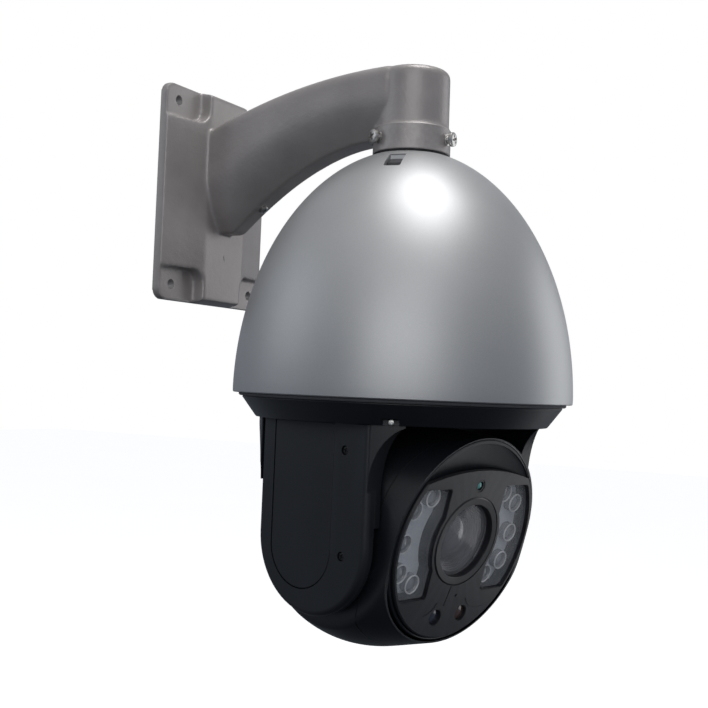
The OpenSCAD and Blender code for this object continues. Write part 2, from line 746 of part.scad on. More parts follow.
// ---------- head ----------
// one half of a tilt shaft, drawn on the +X side
module tilt_shaft(x_end) {
    difference() {
        union() {
            x_rod(side_x - head_wall - 3, side_x - head_wall, tilt_flange_r);
            x_rod(side_x - head_wall - eps, x_end, tilt_shaft_r);
        }
        x_rod(side_x - head_wall - 10, x_end + 1, tilt_bore_r);
    }
}
module left_tilt_shaft() {
    color("#b0b4b9") at_head() mirror([1, 0, 0]) tilt_shaft(tilt_pulley_x + tilt_pulley_t);
}
module right_tilt_shaft() {
    color("#b0b4b9") at_head() tilt_shaft(arm_in + web_t + 2);
}
module tilt_pulley() {
    color("#c9ccd0") at_head() translate([-tilt_pulley_x, 0, 0]) rotate([0, -90, 0])
        pulley(tilt_pulley_r, tilt_pulley_t, tilt_shaft_r);
}
// half outline of the ball across the tilt axis, taken in by t
function ball_line(t) =
    let (w = side_x - t, r_mid = ball_r - t, r_side = side_edge_r - t, n = 5)
    concat([[0, -w]], [for (i = [-n : n]) let (u = i / n) [r_mid - (r_mid - r_side) * pow(abs(u), 2.6), u * w]],
        [[0, w]]);
// the ball, cut flat at the front and blended into the round rim, taken in by t
module head_body(t) {
    front = -rim_reach - (t > 0 ? 5 : 0);
    hull() {
        intersection() {
            rotate([0, 90, 0]) rotate_extrude($fn = 40) polygon(ball_line(t));
            translate([-100, front, -100]) cube(200);
        }
        translate([0, 0, lens_rise]) y_rod(front, -rim_reach + 5, face_r - t, $fn = 64);
    }
}
module front_half() {
    translate([-100, -200, -150]) cube([200, 200 + split_y, 300]);
}
module head_rear_shell() {
    color("#1d1d20") at_head() difference() {
        head_body(0);
        head_body(head_wall);
        front_half();
        both_sides() x_rod(side_x - head_wall - 1, side_x + 5, tilt_shaft_r + fit_gap);
    }
}
module head_seal() {
    color("#0e0e0e") at_head() intersection() {
        difference() {
            head_body(0.4);
            head_body(head_wall);
        }
        translate([-100, split_y - seal_gap, -150]) cube([200, seal_gap, 300]);
    }
}
module head_front_frame() {
    color("#1d1d20") at_head() {
        difference() {
            head_body(0);
            head_body(head_wall);
            translate([-100, split_y - seal_gap, -150]) cube([200, 200, 300]);
        }
        translate([0, 0, lens_rise]) difference() {
            y_rod(-rim_reach + brow_sink, -rim_reach + brow_sink + 4, face_r - head_wall + 0.8);
            y_plate(-100, 0) brow_cut(fit_gap);
        }
    }
}
// everything below the brow's edge
module brow_cut(g) {
    polygon(concat([for (i = [-10 : 10]) let (x = i * 7) [x, brow_rise + g - brow_drop * pow(x / 50, 2)]],
        [[80, -100], [-80, -100]]));
}
// round patch of the front, with one LED window's shape
module window_outline(g) {
    intersection() {
        circle(r = window_out_r + g);
        difference() {
            translate([window_in_x - g, -window_half_h - g]) square([60, 2 * (window_half_h + g)]);
            circle(r = lens_ring_r + 3 - g);
        }
    }
}
module face_panel() {
    color("#242428") at_face() difference() {
        intersection() {
            y_rod(-face_front, -face_front + panel_t, face_r - head_wall - fit_gap);
            y_plate(-100, 0) brow_cut(0);
        }
        y_rod(-100, 0, lens_ring_r + run_gap);
        both_sides() y_plate(-100, 0) window_outline(0);
        translate([0, 0, sensor_z]) y_rod(-100, 0, sensor_r);
        for (x = [-1, 1]) translate([x * eye_x, 0, eye_z]) y_rod(-100, 0, eye_r);
    }
}
module lens_ring() {
    color("#17171a") at_face() difference() {
        y_rod(-face_front - 1, -face_front + glass_sink + glass_t, lens_ring_r);
        y_rod(-100, 0, lens_ring_in);
    }
}
module front_glass() {
    color("#6b6f78", 0.5) at_face()
        y_rod(-face_front + glass_sink, -face_front + glass_sink + glass_t, glass_r);
}
module led_window() {
    y = -face_front + window_sink;
    y_plate(y, y + window_t) window_outline(-fit_gap);
}
module right_led_window() {
    color("#d8dadd", 0.5) at_face() led_window();
}
module left_led_window() {
    color("#d8dadd", 0.5) at_face() mirror([1, 0, 0]) led_window();
}
module led_board() {
    y = led_board_y;
    y_plate(y, y + 1.6) window_outline(-1);
}
module right_led_board() {
    color("#e6e6e2") at_face() led_board();
}
module left_led_board() {
    color("#e6e6e2") at_face() mirror([1, 0, 0]) led_board();
}
module led_set() {
    for (p = led_spots)
        translate([p[0], 0, p[1]]) y_rod(led_board_y - led_h, led_board_y, led_r);
}
module right_led_lenses() {
    color("#f2f2f2", 0.7) at_face() led_set();
}
module left_led_lenses() {
    color("#f2f2f2", 0.7) at_face() mirror([1, 0, 0]) led_set();
}
module light_sensor() {
    color("#2f7f80") at_face() translate([0, 0, sensor_z])
        y_rod(-face_front + 0.4, -face_front + panel_t, sensor_r - fit_gap);
}
module lower_windows() {
    color("#55585f", 0.6) at_face()
        for (x = [-1, 1]) translate([x * eye_x, 0, eye_z])
            y_rod(-face_front + 1.2, -face_front + panel_t, eye_r - fit_gap);
}
module camera_module() {
    color("#2a2a2e") at_face()
        translate([-module_w / 2, module_front, -module_h / 2])
            cube([module_w, module_back - module_front, module_h]);
}
module lens_barrel() {
    color("#101012") at_face() difference() {
        y_rod(barrel_front, module_front, barrel_r);
        y_rod(barrel_front - 1, module_front - 2, barrel_in_r);
    }
}
module lens_group(y, thickness) {
    at_face() y_rod(y, y + thickness, group_r);
}
module zoom_group() {
    color("#4a4f63") lens_group(barrel_front + 3, 8);
}
module focus_group() {
    color("#4a4f63") lens_group(module_front - 12, 6);
}
module image_board() {
    color("#1f5a34") at_face()
        translate([-24, module_back, -26]) cube([48, 1.6, 52]);
}

wall_bracket();
arm_cover();
arm_cover_screws();
clamp_screws();
neck();
neck_seal();
shell();
shell_plug();
rim_seal();
base_ring();
ring_screws();
chassis_posts();
chassis_plate();
pan_bearing();
bearing_cap();
slip_ring();
pan_motor();
pan_motor_pulley();
pan_belt();
board_posts();
power_board();
board_parts();
yoke_frame();
pan_shaft();
pan_shaft_screws();
retaining_ring();
pan_pulley();
left_arm_cover();
right_arm_cover();
left_panel();
right_panel();
arm_screws();
left_tilt_bearing();
right_tilt_bearing();
tilt_motor();
tilt_motor_pulley();
tilt_belt();
left_tilt_shaft();
right_tilt_shaft();
tilt_pulley();
head_rear_shell();
head_seal();
head_front_frame();
face_panel();
lens_ring();
front_glass();
left_led_window();
right_led_window();
left_led_board();
right_led_board();
left_led_lenses();
right_led_lenses();
light_sensor();
lower_windows();
camera_module();
lens_barrel();
zoom_group();
focus_group();
image_board();
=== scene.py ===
"""The looks of a wall-mounted pan and tilt camera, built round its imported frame."""
import json
import math
from contextlib import contextmanager

import bpy
from mathutils import Matrix, Vector


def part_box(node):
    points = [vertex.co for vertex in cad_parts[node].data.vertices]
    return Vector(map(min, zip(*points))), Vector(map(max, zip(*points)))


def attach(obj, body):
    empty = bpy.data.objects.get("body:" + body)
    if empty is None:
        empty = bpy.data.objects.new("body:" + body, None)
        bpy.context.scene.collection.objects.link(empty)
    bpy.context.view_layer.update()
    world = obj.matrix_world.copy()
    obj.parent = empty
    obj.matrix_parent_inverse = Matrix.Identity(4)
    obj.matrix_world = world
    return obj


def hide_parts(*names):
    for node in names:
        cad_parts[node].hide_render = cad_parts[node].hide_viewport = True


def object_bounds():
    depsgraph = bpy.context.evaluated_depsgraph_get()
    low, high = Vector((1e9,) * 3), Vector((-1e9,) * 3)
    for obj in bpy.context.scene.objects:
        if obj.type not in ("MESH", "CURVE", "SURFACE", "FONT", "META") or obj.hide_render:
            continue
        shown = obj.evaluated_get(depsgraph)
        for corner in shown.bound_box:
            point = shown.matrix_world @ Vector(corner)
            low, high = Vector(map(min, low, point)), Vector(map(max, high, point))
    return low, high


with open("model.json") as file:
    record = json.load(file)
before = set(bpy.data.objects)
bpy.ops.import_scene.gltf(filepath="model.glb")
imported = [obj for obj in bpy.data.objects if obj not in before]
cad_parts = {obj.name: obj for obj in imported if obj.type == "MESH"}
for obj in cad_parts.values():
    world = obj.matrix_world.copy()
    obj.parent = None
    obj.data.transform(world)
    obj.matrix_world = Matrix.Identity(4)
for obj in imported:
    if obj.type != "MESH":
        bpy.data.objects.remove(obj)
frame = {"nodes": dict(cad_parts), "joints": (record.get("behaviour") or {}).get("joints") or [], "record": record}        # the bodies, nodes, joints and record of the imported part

bl_info = {
    "name": "Pan and tilt camera",
    "version": (1, 0, 0),
    "blender": (4, 5, 0),
    "location": "View3D > Sidebar > Camera",
    "description": "Models and paints the casing, drive and head of a pan and tilt camera",
    "category": "Object",
}

CAD_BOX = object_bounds()
MM = 1000.0

# ---------- places, in millimetres, from the frame ----------
JOINTS = {joint["name"]: joint for joint in frame["joints"]}


def corners(node):
    """The lowest and highest corner of a CAD node, in millimetres."""
    low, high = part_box(node)
    return low * MM, high * MM


def node_radius(node):
    """Half the width of a CAD node."""
    low, high = corners(node)
    return (high.x - low.x) / 2


AXIS_Y = JOINTS["pan"]["pos_m"][1] * MM
TILT_Z = JOINTS["tilt"]["pos_m"][2] * MM
RIM_Z = corners("shell")[0].z
SHELL_TOP = corners("shell")[1].z
SHELL_R = node_radius("shell")
RING_Z = corners("base_ring")[0].z
SEAL_Z = corners("rim_seal")[0].z
CASTING_TOP = corners("wall_bracket")[1].z
PLATE_W = corners("wall_bracket")[1].x * 2
PLATE_H = -corners("wall_bracket")[0].z * 2
REACH = -AXIS_Y

TILT_AXIS = Vector(JOINTS["tilt"]["axis"]).normalized()
LENS_WAY = Vector(JOINTS["focus"]["axis"]).normalized()


def frame_matrix(x_axis, y_axis, origin):
    """A matrix to metres from a frame in millimetres with these axes."""
    z_axis = x_axis.cross(y_axis)
    turn = Matrix((x_axis, y_axis, z_axis)).transposed().to_4x4()
    return Matrix.Translation(origin / MM) @ turn @ Matrix.Scale(1 / MM, 4)


BRACKET = Matrix.Scale(1 / MM, 4)
PAN_AXIS = Matrix.Translation((0, AXIS_Y / MM, 0)) @ BRACKET
TILT_POINT = Vector((0, AXIS_Y, TILT_Z))
YOKE = frame_matrix(TILT_AXIS, Vector((0, 0, 1)).cross(TILT_AXIS), TILT_POINT)
HEAD = frame_matrix(TILT_AXIS, -LENS_WAY, TILT_POINT)
MIRROR = Matrix.Scale(-1, 4, (1, 0, 0))
SIDES = {"right": Matrix.Identity(4), "left": MIRROR}


def lens_height():
    """Height of the lens axis above the tilt axis, in the head's frame."""
    low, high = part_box("front_glass")
    return (HEAD.inverted() @ ((low + high) / 2)).z


LENS_RISE = lens_height()
FACE = HEAD @ Matrix.Translation((0, 0, LENS_RISE))
DISC_Z = RING_Z - TILT_Z


# ---------- settings that a user would change ----------
def length(name, text, default):
    """A length, given in millimetres and kept in metres."""
    return bpy.props.FloatProperty(
        name=name, description=text, default=default / MM, min=0, subtype="DISTANCE", unit="LENGTH",
        precision=4)


def colour(name, text, default):
    """A linear colour."""
    return bpy.props.FloatVectorProperty(
        name=name, description=text, subtype="COLOR", size=3, min=0, max=1, default=default)


class CasingSettings(bpy.types.PropertyGroup):
    """Sizes of the bracket, the shell and the base ring."""

    shell_height: length("Shell height", "Height of the half ellipse that the shell follows", 162)
    shell_wall: length("Shell wall", "Wall thickness of the shell", 3)
    shell_flat: length("Shell land", "Radius of the flat land under the neck seal", 24.8)
    collar_radius: length("Collar radius", "Outer radius of the collar's lower ring", 25.5)
    arm_width: length("Arm width", "Width of the arm", 48)
    plate_thickness: length("Plate thickness", "Thickness of the plate at its corner pads", 6)
    cast_fillet: bpy.props.IntProperty(
        name="Cast fillet", description="How far the casting's corners are softened", default=6, min=0)


class HeadSettings(bpy.types.PropertyGroup):
    """Sizes of the yoke and the head."""

    arm_outer: length("Arm face", "Distance of an arm's outer face from the middle", 79)
    arm_inner: length("Arm inner face", "Distance of an arm's inner face from the middle", 67)
    arm_end: length("Arm end radius", "Radius of the rounded arm ends", 46)
    ball_radius: length("Ball radius", "Radius of the ball at its middle", 72)
    face_radius: length("Face radius", "Radius of the round front", 66.4)
    rim_reach: length("Rim reach", "Distance from the tilt axis to the front rim", 54)
    glass_radius: length("Glass radius", "Radius of the front glass", 23.6)


class FinishSettings(bpy.types.PropertyGroup):
    """Colours of the main finishes."""

    silver: colour("Shell paint", "Silver paint of the shell", (0.46, 0.465, 0.47))
    casting: colour("Casting paint", "Grey paint of the bracket", (0.35, 0.325, 0.318))
    black: colour("Black plastic", "Satin black of the ring, yoke and head", (0.0085, 0.0102, 0.0135))
    panel: colour("Face panel", "Black of the panel round the lens", (0.0105, 0.0108, 0.0135))


class Lengths:
    """Reads a group of settings, with its lengths in millimetres."""

    def __init__(self, group):
        self.group = group

    def __getattr__(self, name):
        value = getattr(self.group, name)
        return value if isinstance(value, int) else round(value * MM, 4)


def casing():
    return Lengths(bpy.context.scene.casing_settings)


def head():
    return Lengths(bpy.context.scene.head_settings)


def finishes():
    return bpy.context.scene.finish_settings


PAINTS = {}


# ---------- modelling helpers ----------
def deselect_all():
    active = bpy.context.view_layer.objects.active
    if active and active.mode != "OBJECT":
        bpy.ops.object.mode_set(mode="OBJECT")
    bpy.ops.object.select_all(action="DESELECT")


def select_only(piece):
    deselect_all()
    piece.select_set(True)
    bpy.context.view_layer.objects.active = piece


@contextmanager
def editing(piece):
    """Opens a piece in edit mode with all of it selected."""
    select_only(piece)
    bpy.ops.object.mode_set(mode="EDIT")
    bpy.ops.mesh.select_all(action="SELECT")
    yield
    bpy.ops.object.mode_set(mode="OBJECT")


def named(piece, name):
    """Names a piece and its mesh."""
    piece.name = piece.data.name = name
    return piece


def outline(name, points):
    """A closed loop of edges, from a circle whose vertices are moved to the points."""
    deselect_all()
    bpy.ops.mesh.primitive_circle_add(vertices=len(points), radius=1)
    piece = named(bpy.context.object, name)
    for vertex, point in zip(piece.data.vertices, points):
        vertex.co = point
    return piece


def lathe(name, profile, steps=96, axis=(0, 0, 1)):
    """Spins an outline of (radius, height) once round an axis."""
    if axis[2]:
        points = [(r, 0, z) for r, z in profile]
    elif axis[1]:
        points = [(r, z, 0) for r, z in profile]
    else:
        points = [(z, r, 0) for r, z in profile]
    piece = outline(name, points)
    with editing(piece):
        bpy.ops.mesh.spin(steps=steps, angle=2 * math.pi, center=(0, 0, 0), axis=axis)
        bpy.ops.mesh.select_all(action="SELECT")
        bpy.ops.mesh.remove_doubles(threshold=0.002)
        bpy.ops.mesh.normals_make_consistent(inside=False)
    return piece


def prism(name, points, way):
    """Fills a closed outline and extrudes it by a vector."""
    piece = outline(name, points)
    with editing(piece):
        bpy.ops.mesh.edge_face_add()
        bpy.ops.mesh.extrude_region_move(TRANSFORM_OT_translate={"value": way})
        bpy.ops.mesh.select_all(action="SELECT")
        bpy.ops.mesh.normals_make_consistent(inside=False)
    return piece


def block(name, low, high):
    """A cube that fills the space between two corners."""
    low, high = Vector(low), Vector(high)
    deselect_all()
    bpy.ops.mesh.primitive_cube_add(size=1, location=(low + high) / 2, scale=high - low)
    piece = named(bpy.context.object, name)
    bpy.ops.object.transform_apply(location=True, rotation=True, scale=True)
    return piece


def rod(name, radius, start, end, steps=48):
    """A cylinder between two points."""
    start, end = Vector(start), Vector(end)
    way = end - start
    deselect_all()
    bpy.ops.mesh.primitive_cylinder_add(
        vertices=steps, radius=radius, depth=way.length, location=(start + end) / 2,
        rotation=way.to_track_quat("Z", "Y").to_euler())
    piece = named(bpy.context.object, name)
    bpy.ops.object.transform_apply(location=True, rotation=True, scale=True)
    return piece


def modify(piece, kind, **settings):
    """Adds a modifier and applies it."""
    select_only(piece)
    modifier = piece.modifiers.new(kind.title(), kind)
    for name, value in settings.items():
        setattr(modifier, name, value)
    bpy.ops.object.modifier_apply(modifier=modifier.name)


def round_edges(piece, width, segments=3, sharper_than=30):
    modify(piece, "BEVEL", width=width, segments=segments, limit_method="ANGLE",
           angle_limit=math.radians(sharper_than), harden_normals=False)


def bevel_edges(piece, wanted, width, segments, clamp=False):
    """Bevels the edges whose two ends pass a test."""
    with editing(piece):
        bpy.ops.mesh.select_mode(type="EDGE")
        bpy.ops.mesh.select_all(action="DESELECT")
    for edge in piece.data.edges:
        edge.select = wanted(*(piece.data.vertices[i].co for i in edge.vertices))
    bpy.ops.object.mode_set(mode="EDIT")
    bpy.ops.mesh.bevel(offset=width, segments=segments, affect="EDGES", clamp_overlap=clamp)
    bpy.ops.object.mode_set(mode="OBJECT")


def combine(piece, other, operation, solver="EXACT"):
    """Cuts, joins or crosses a piece with another, which is then removed."""
    modify(piece, "BOOLEAN", object=other, operation=operation, solver=solver)
    bpy.data.objects.remove(other)


def cut(piece, *cutters, solver="EXACT"):
    for cutter in cutters:
        combine(piece, cutter, "DIFFERENCE", solver)


def join(piece, *others):
    """Puts several pieces into one mesh."""
    if not others:
        return
    select_only(piece)
    for other in others:
        other.select_set(True)
    bpy.ops.object.join()


def copy_of(piece, name):
    """A copy with a mesh of its own."""
    twin = piece.copy()
    twin.data = piece.data.copy()
    bpy.context.scene.collection.objects.link(twin)
    return named(twin, name)


def turned(piece, matrix):
    """Moves a piece's mesh by a matrix and keeps its faces outwards."""
    select_only(piece)
    piece.matrix_world = matrix @ piece.matrix_world
    bpy.ops.object.transform_apply(location=True, rotation=True, scale=True)
    if matrix.determinant() < 0:
        with editing(piece):
            bpy.ops.mesh.flip_normals()
    return piece


def deliver(piece, matrix, body, slot, *nodes, paint=None, smooth=32):
    """Places a finished piece in metres, paints it and hangs it on its body."""
    turned(piece, matrix)
    select_only(piece)
    bpy.ops.object.shade_smooth_by_angle(angle=math.radians(smooth))
    modify(piece, "WEIGHTED_NORMAL", keep_sharp=True, weight=80)
    piece.data.materials.clear()
    piece.data.materials.append(PAINTS[paint or slot])
    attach(piece, body)
    if nodes:
        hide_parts(*nodes)
    return piece


def arc(x, y, radius, start, end, steps=12):
    """Points on a round stretch, the angles in degrees."""
    turn = [math.radians(start + (end - start) * i / steps) for i in range(steps + 1)]
    return [(x + radius * math.cos(a), y + radius * math.sin(a)) for a in turn]


def flat_x(points, x):
    """Stands (y, z) points up in the plane at x."""
    return [(x, y, z) for y, z in points]


def flat_y(points, y):
    """Stands (x, z) points up in the plane at y."""
    return [(x, y, z) for x, z in points]


# ---------- materials ----------
class Value:
    """A node's output. Arithmetic on values adds Math nodes."""

    def __init__(self, paint, socket):
        self.paint = paint
        self.socket = socket

    def math(self, operation, first, second):
        return self.paint.node("ShaderNodeMath", {0: first, 1: second}, operation=operation)

    def __add__(self, other):
        return self.math("ADD", self, other)

    def __mul__(self, other):
        return self.math("MULTIPLY", self, other)

    __radd__ = __add__
    __rmul__ = __mul__


class Paint:
    """A material with a Principled surface."""

    def __init__(self, name, **constants):
        self.material = bpy.data.materials.new(name)
        self.material.use_nodes = True
        self.tree = self.material.node_tree
        self.surface = self.tree.nodes["Principled BSDF"]
        self.place = self.node("ShaderNodeTexCoord", output="Object")
        for socket, value in constants.items():
            self.set(socket.replace("_", " "), value)

    def put(self, socket, value):
        if isinstance(value, Value):
            self.tree.links.new(value.socket, socket)
        else:
            socket.default_value = value

    def node(self, kind, sockets=None, output=0, **settings):
        """Any node: its settings, then the numbers, colours or values of its sockets."""
        made = self.tree.nodes.new(kind)
        for name, value in settings.items():
            setattr(made, name, value)
        for key, value in (sockets or {}).items():
            self.put(made.inputs[key], value)
        return Value(self, made.outputs[output])

    def set(self, socket, value):
        if isinstance(value, tuple) and len(value) == 3:
            value = (*value, 1)
        self.put(self.surface.inputs[socket], value)

    def noise(self, scale, detail=3, rough=0.55, place=None):
        sockets = {"Vector": place or self.place, "Scale": scale, "Detail": detail, "Roughness": rough}
        return self.node("ShaderNodeTexNoise", sockets)

    def span(self, value, low, high, to_low=0.0, to_high=1.0):
        """Maps low..high of a value to a new range, held at its ends."""
        sockets = {0: value, 1: low, 2: high, 3: to_low, 4: to_high}
        return self.node("ShaderNodeMapRange", sockets, clamp=True)

    def mix(self, share, first, second):
        colours = [c if isinstance(c, Value) else (*c[:3], 1) for c in (first, second)]
        return self.node("ShaderNodeMix", {0: share, 6: colours[0], 7: colours[1]}, output=2, data_type="RGBA")

    def bump(self, height, distance, strength=1.0):
        sockets = {"Height": height, "Distance": distance, "Strength": strength}
        self.put(self.surface.inputs["Normal"], self.node("ShaderNodeBump", sockets))

    def edge_wear_and_sheen(self, sharp=0.53, full=0.60):
        """1 on sharp outer edges and 0 elsewhere."""
        return self.span(self.node("ShaderNodeNewGeometry", output="Pointiness"), sharp, full)


def shade(tint, factor):
    return tuple(min(1.0, c * factor) for c in tint)


def paint_casting():
    """Powder-painted die casting with a fine pebbled grain."""
    base = tuple(finishes().casting)
    paint = Paint("cast_grey", Metallic=0.35, Coat_Weight=0.15, Coat_Roughness=0.3)
    cloud = paint.noise(22, 4)
    grain = paint.noise(900, 2)
    tone = paint.mix(paint.span(cloud, 0.3, 0.7), shade(base, 0.86), shade(base, 1.12))
    wear_and_sheen = paint.edge_wear_and_sheen() * paint.span(paint.noise(260, 3), 0.42, 0.62)
    paint.set("Base Color", paint.mix(wear_and_sheen * 0.4, tone, (0.5, 0.49, 0.48)))
    paint.set("Roughness", paint.span(cloud, 0.3, 0.7, 0.36, 0.46) + paint.span(grain, 0.3, 0.7, -0.03, 0.05))
    paint.bump(grain + paint.noise(260, 2) * 1.6, 0.00012, 0.8)
    return paint.material


def paint_silver():
    """Satin metallic paint with fine flakes."""
    base = tuple(finishes().silver)
    paint = Paint("silver_paint", Metallic=0.8, Coat_Weight=0.06, Coat_Roughness=0.4)
    flakes = paint.node("ShaderNodeTexVoronoi", {"Vector": paint.place, "Scale": 2600})
    cloud = paint.noise(9, 3)
    tone = paint.mix(paint.span(cloud, 0.35, 0.65), shade(base, 0.95), shade(base, 1.05))
    paint.set("Base Color", paint.mix(paint.span(flakes, 0.05, 0.5, 0.22, 0), tone, shade(base, 1.7)))
    paint.set("Roughness", paint.span(cloud, 0.3, 0.7, 0.44, 0.48))
    paint.bump(paint.noise(1500, 2), 0.00003, 0.35)
    return paint.material


def paint_plastic(name, base, rough=(0.34, 0.44), grain=1800, depth=0.00004, **constants):
    """Moulded plastic with a fine etched grain, faint handling marks and a painted highlight on its sharp
    edges.
    """
    paint = Paint(name, **constants)
    cloud = paint.noise(14, 4)
    marks = paint.span(paint.noise(70, 5, 0.7), 0.5, 0.75)
    tone = paint.mix(paint.span(cloud, 0.3, 0.7), shade(base, 0.85), shade(base, 1.18))
    # every sharp outer edge is painted lighter: a painted edge highlight that stands in for light catching the
    # edges
    wear_and_sheen = paint.edge_wear_and_sheen(0.54, 0.64)
    paint.set("Base Color", paint.mix(wear_and_sheen * 0.35, tone, shade(base, 3.0)))
    paint.set("Roughness", paint.span(cloud, 0.3, 0.7, *rough) + marks * 0.05)
    paint.bump(paint.noise(grain, 2), depth, 0.5)
    return paint.material


def paint_steel(name, base, rough=0.3, metallic=1.0, turned_marks=900):
    """Bare or plated metal with fine tooling marks."""
    paint = Paint(name, Metallic=metallic)
    stretch = paint.node("ShaderNodeMapping", {"Vector": paint.place, "Scale": (1, 1, 14)})
    marks = paint.noise(turned_marks, 3, place=stretch)
    tone = paint.mix(paint.span(paint.noise(60, 4), 0.3, 0.7), shade(base, 0.82), shade(base, 1.1))
    paint.set("Base Color", tone)
    paint.set("Roughness", paint.span(marks, 0.3, 0.7, rough - 0.07, rough + 0.1))
    paint.bump(marks, 0.00002, 0.4)
    return paint.material


def paint_rubber(name, base):
    paint = Paint(name, Specular_IOR_Level=0.35)
    grain = paint.noise(700, 3)
    paint.set("Base Color", paint.mix(paint.noise(40, 3), shade(base, 0.8), shade(base, 1.25)))
    paint.set("Roughness", paint.span(grain, 0.3, 0.7, 0.6, 0.78))
    paint.bump(grain, 0.00008, 0.5)
    return paint.material


def paint_board(name, base, track):
    """Circuit board with faint copper tracks under the lacquer."""
    paint = Paint(name, Coat_Weight=0.3, Coat_Roughness=0.2)
    tracks = paint.node("ShaderNodeTexVoronoi", {"Vector": paint.place, "Scale": 320},
                        feature="DISTANCE_TO_EDGE")
    paint.set("Base Color", paint.mix(paint.span(tracks, 0.02, 0.09, 1, 0), base, track))
    paint.set("Roughness", paint.span(paint.noise(200, 3), 0.3, 0.7, 0.32, 0.48))
    return paint.material


def paint_clear(name, base, alpha, rough=(0.04, 0.1), **constants):
    """Clear or tinted moulded window, thin enough to see through."""
    paint = Paint(name, Alpha=alpha, **constants)
    haze = paint.noise(120, 4)
    paint.set("Base Color", paint.mix(paint.span(haze, 0.3, 0.7), shade(base, 0.85), shade(base, 1.15)))
    paint.set("Roughness", paint.span(haze, 0.3, 0.7, *rough))
    return paint.material


def make_paints():
    """One material for each material slot of the record, and a few for details."""
    black = tuple(finishes().black)
    return {
        "cast_grey": paint_casting(),
        "silver_paint": paint_silver(),
        "steel_screw": paint_steel("steel_screw", (0.58, 0.57, 0.55), 0.28),
        "black_screw": paint_steel("black_screw", (0.03, 0.03, 0.032), 0.42, 0.6),
        "dark_metal": paint_steel("dark_metal", (0.075, 0.075, 0.08), 0.4, 0.8),
        "black_rubber": paint_rubber("black_rubber", (0.014, 0.014, 0.015)),
        "grey_rubber": paint_rubber("grey_rubber", (0.12, 0.12, 0.125)),
        "dark_plastic": paint_plastic("dark_plastic", (0.05, 0.05, 0.055)),
        "black_plastic": paint_plastic("black_plastic", black, (0.33, 0.42)),
        "black_gloss": paint_plastic("black_gloss", tuple(finishes().panel), (0.3, 0.38), 1500, 0.00005),
        "bare_aluminium": paint_steel("bare_aluminium", (0.72, 0.73, 0.74), 0.34),
        "bearing_steel": paint_steel("bearing_steel", (0.62, 0.63, 0.65), 0.22),
        "motor_black": paint_plastic("motor_black", (0.03, 0.03, 0.033), (0.4, 0.5)),
        "brown_plastic": paint_plastic("brown_plastic", (0.2, 0.075, 0.045)),
        "board_green": paint_board("board_green", (0.02, 0.13, 0.055), (0.09, 0.3, 0.12)),
        "board_white": paint_board("board_white", (0.8, 0.83, 0.88), (0.88, 0.9, 0.93)),
        "lens_glass": paint_clear("lens_glass", (0.5, 0.5, 0.53), 0.2, (0.03, 0.06), Coat_Weight=0.3),
        "clear_window": paint_clear("clear_window", (0.7, 0.73, 0.78), 0.14),
        "led_clear": paint_clear("led_clear", (0.3, 0.31, 0.33), 0.9, (0.1, 0.25), Coat_Weight=0.4),
        "sensor_teal": paint_clear("sensor_teal", (0.16, 0.45, 0.42), 1.0, Coat_Weight=0.5),
        "smoked_window": paint_clear("smoked_window", (0.08, 0.08, 0.11), 0.75, (0.08, 0.14)),
        "lamp_flange": paint_clear("lamp_flange", (0.9, 0.9, 0.9), 1.0, (0.2, 0.35)),
        "lens_steps": paint_steel("lens_steps", (0.16, 0.16, 0.17), 0.3, 0.6),
        "inner_lens": paint_clear("inner_lens", (0.07, 0.07, 0.08), 1.0, (0.12, 0.2), Coat_Weight=1.0, IOR=2.2),
        "left_eye": paint_clear("left_eye", (0.035, 0.037, 0.06), 1.0, (0.08, 0.14), Coat_Weight=0.4),
        "right_eye": paint_clear("right_eye", (0.075, 0.04, 0.035), 1.0, (0.08, 0.14), Coat_Weight=0.4),
    }


# ---------- bracket ----------
ARM_ROOT_Y = 14.0
ARM_TOP_ROOT = 49.0
ARM_LOW_ROOT = -38.0
ARM_LOW_LEAST = -24.0
ARM_LOW_END = 33.0
ARM_FOOT = 10.0
BLOCK_HALF = 22.0
BLOCK_DEPTH = 16.0
PAD_EDGE = 23.0
PAD_BEND = 10
PLATE_BEND = 7
COLLAR_Z = 23.5
CLAMP_HEIGHT = 17.0
CLAMP_TURNS = (150, 270, 30)
COLLAR_BORE = 20.2
CLAMP_HOLE = 2.6
CLAMP_STAND = 2.4
BOLT_X = 46.0
BOLT_Z = 64.0
BOLT_HOLE = 3.5
INLET_R = 11
INLET_Z = 5
COVER_HALF = 6.0


def arm_top(y):
    return CASTING_TOP - (CASTING_TOP - ARM_TOP_ROOT) * (1 - y / REACH) ** 2 * 1.25


def arm_low(y):
    reach = REACH - ARM_ROOT_Y - casing().collar_radius
    share = max(0.0, 1 - (y - ARM_ROOT_Y) / reach)
    return max(ARM_LOW_LEAST, ARM_LOW_END - (ARM_LOW_END - ARM_LOW_ROOT) * share ** 1.8)


def arm_section(y):
    """The arm's outline across its length: upright sides that taper to a narrow foot."""
    top, low, side, bend = arm_top(y), arm_low(y), casing().arm_width / 2, 6.0
    foot = ARM_FOOT - 4.5 * (1 - y / REACH)
    middle = top - (top - low) * 0.42
    right = arc(side - bend, top - bend, bend, 90, 0, 5) + [(side, middle)]
    for i in range(1, 8):
        share = i / 8
        right.append((side - (side - foot) * (share ** 1.9), middle - (middle - low) * share ** 0.95))
    right.append((foot, low))
    return [(x, -y, z) for x, z in right + [(-x, z) for x, z in reversed(right)]]


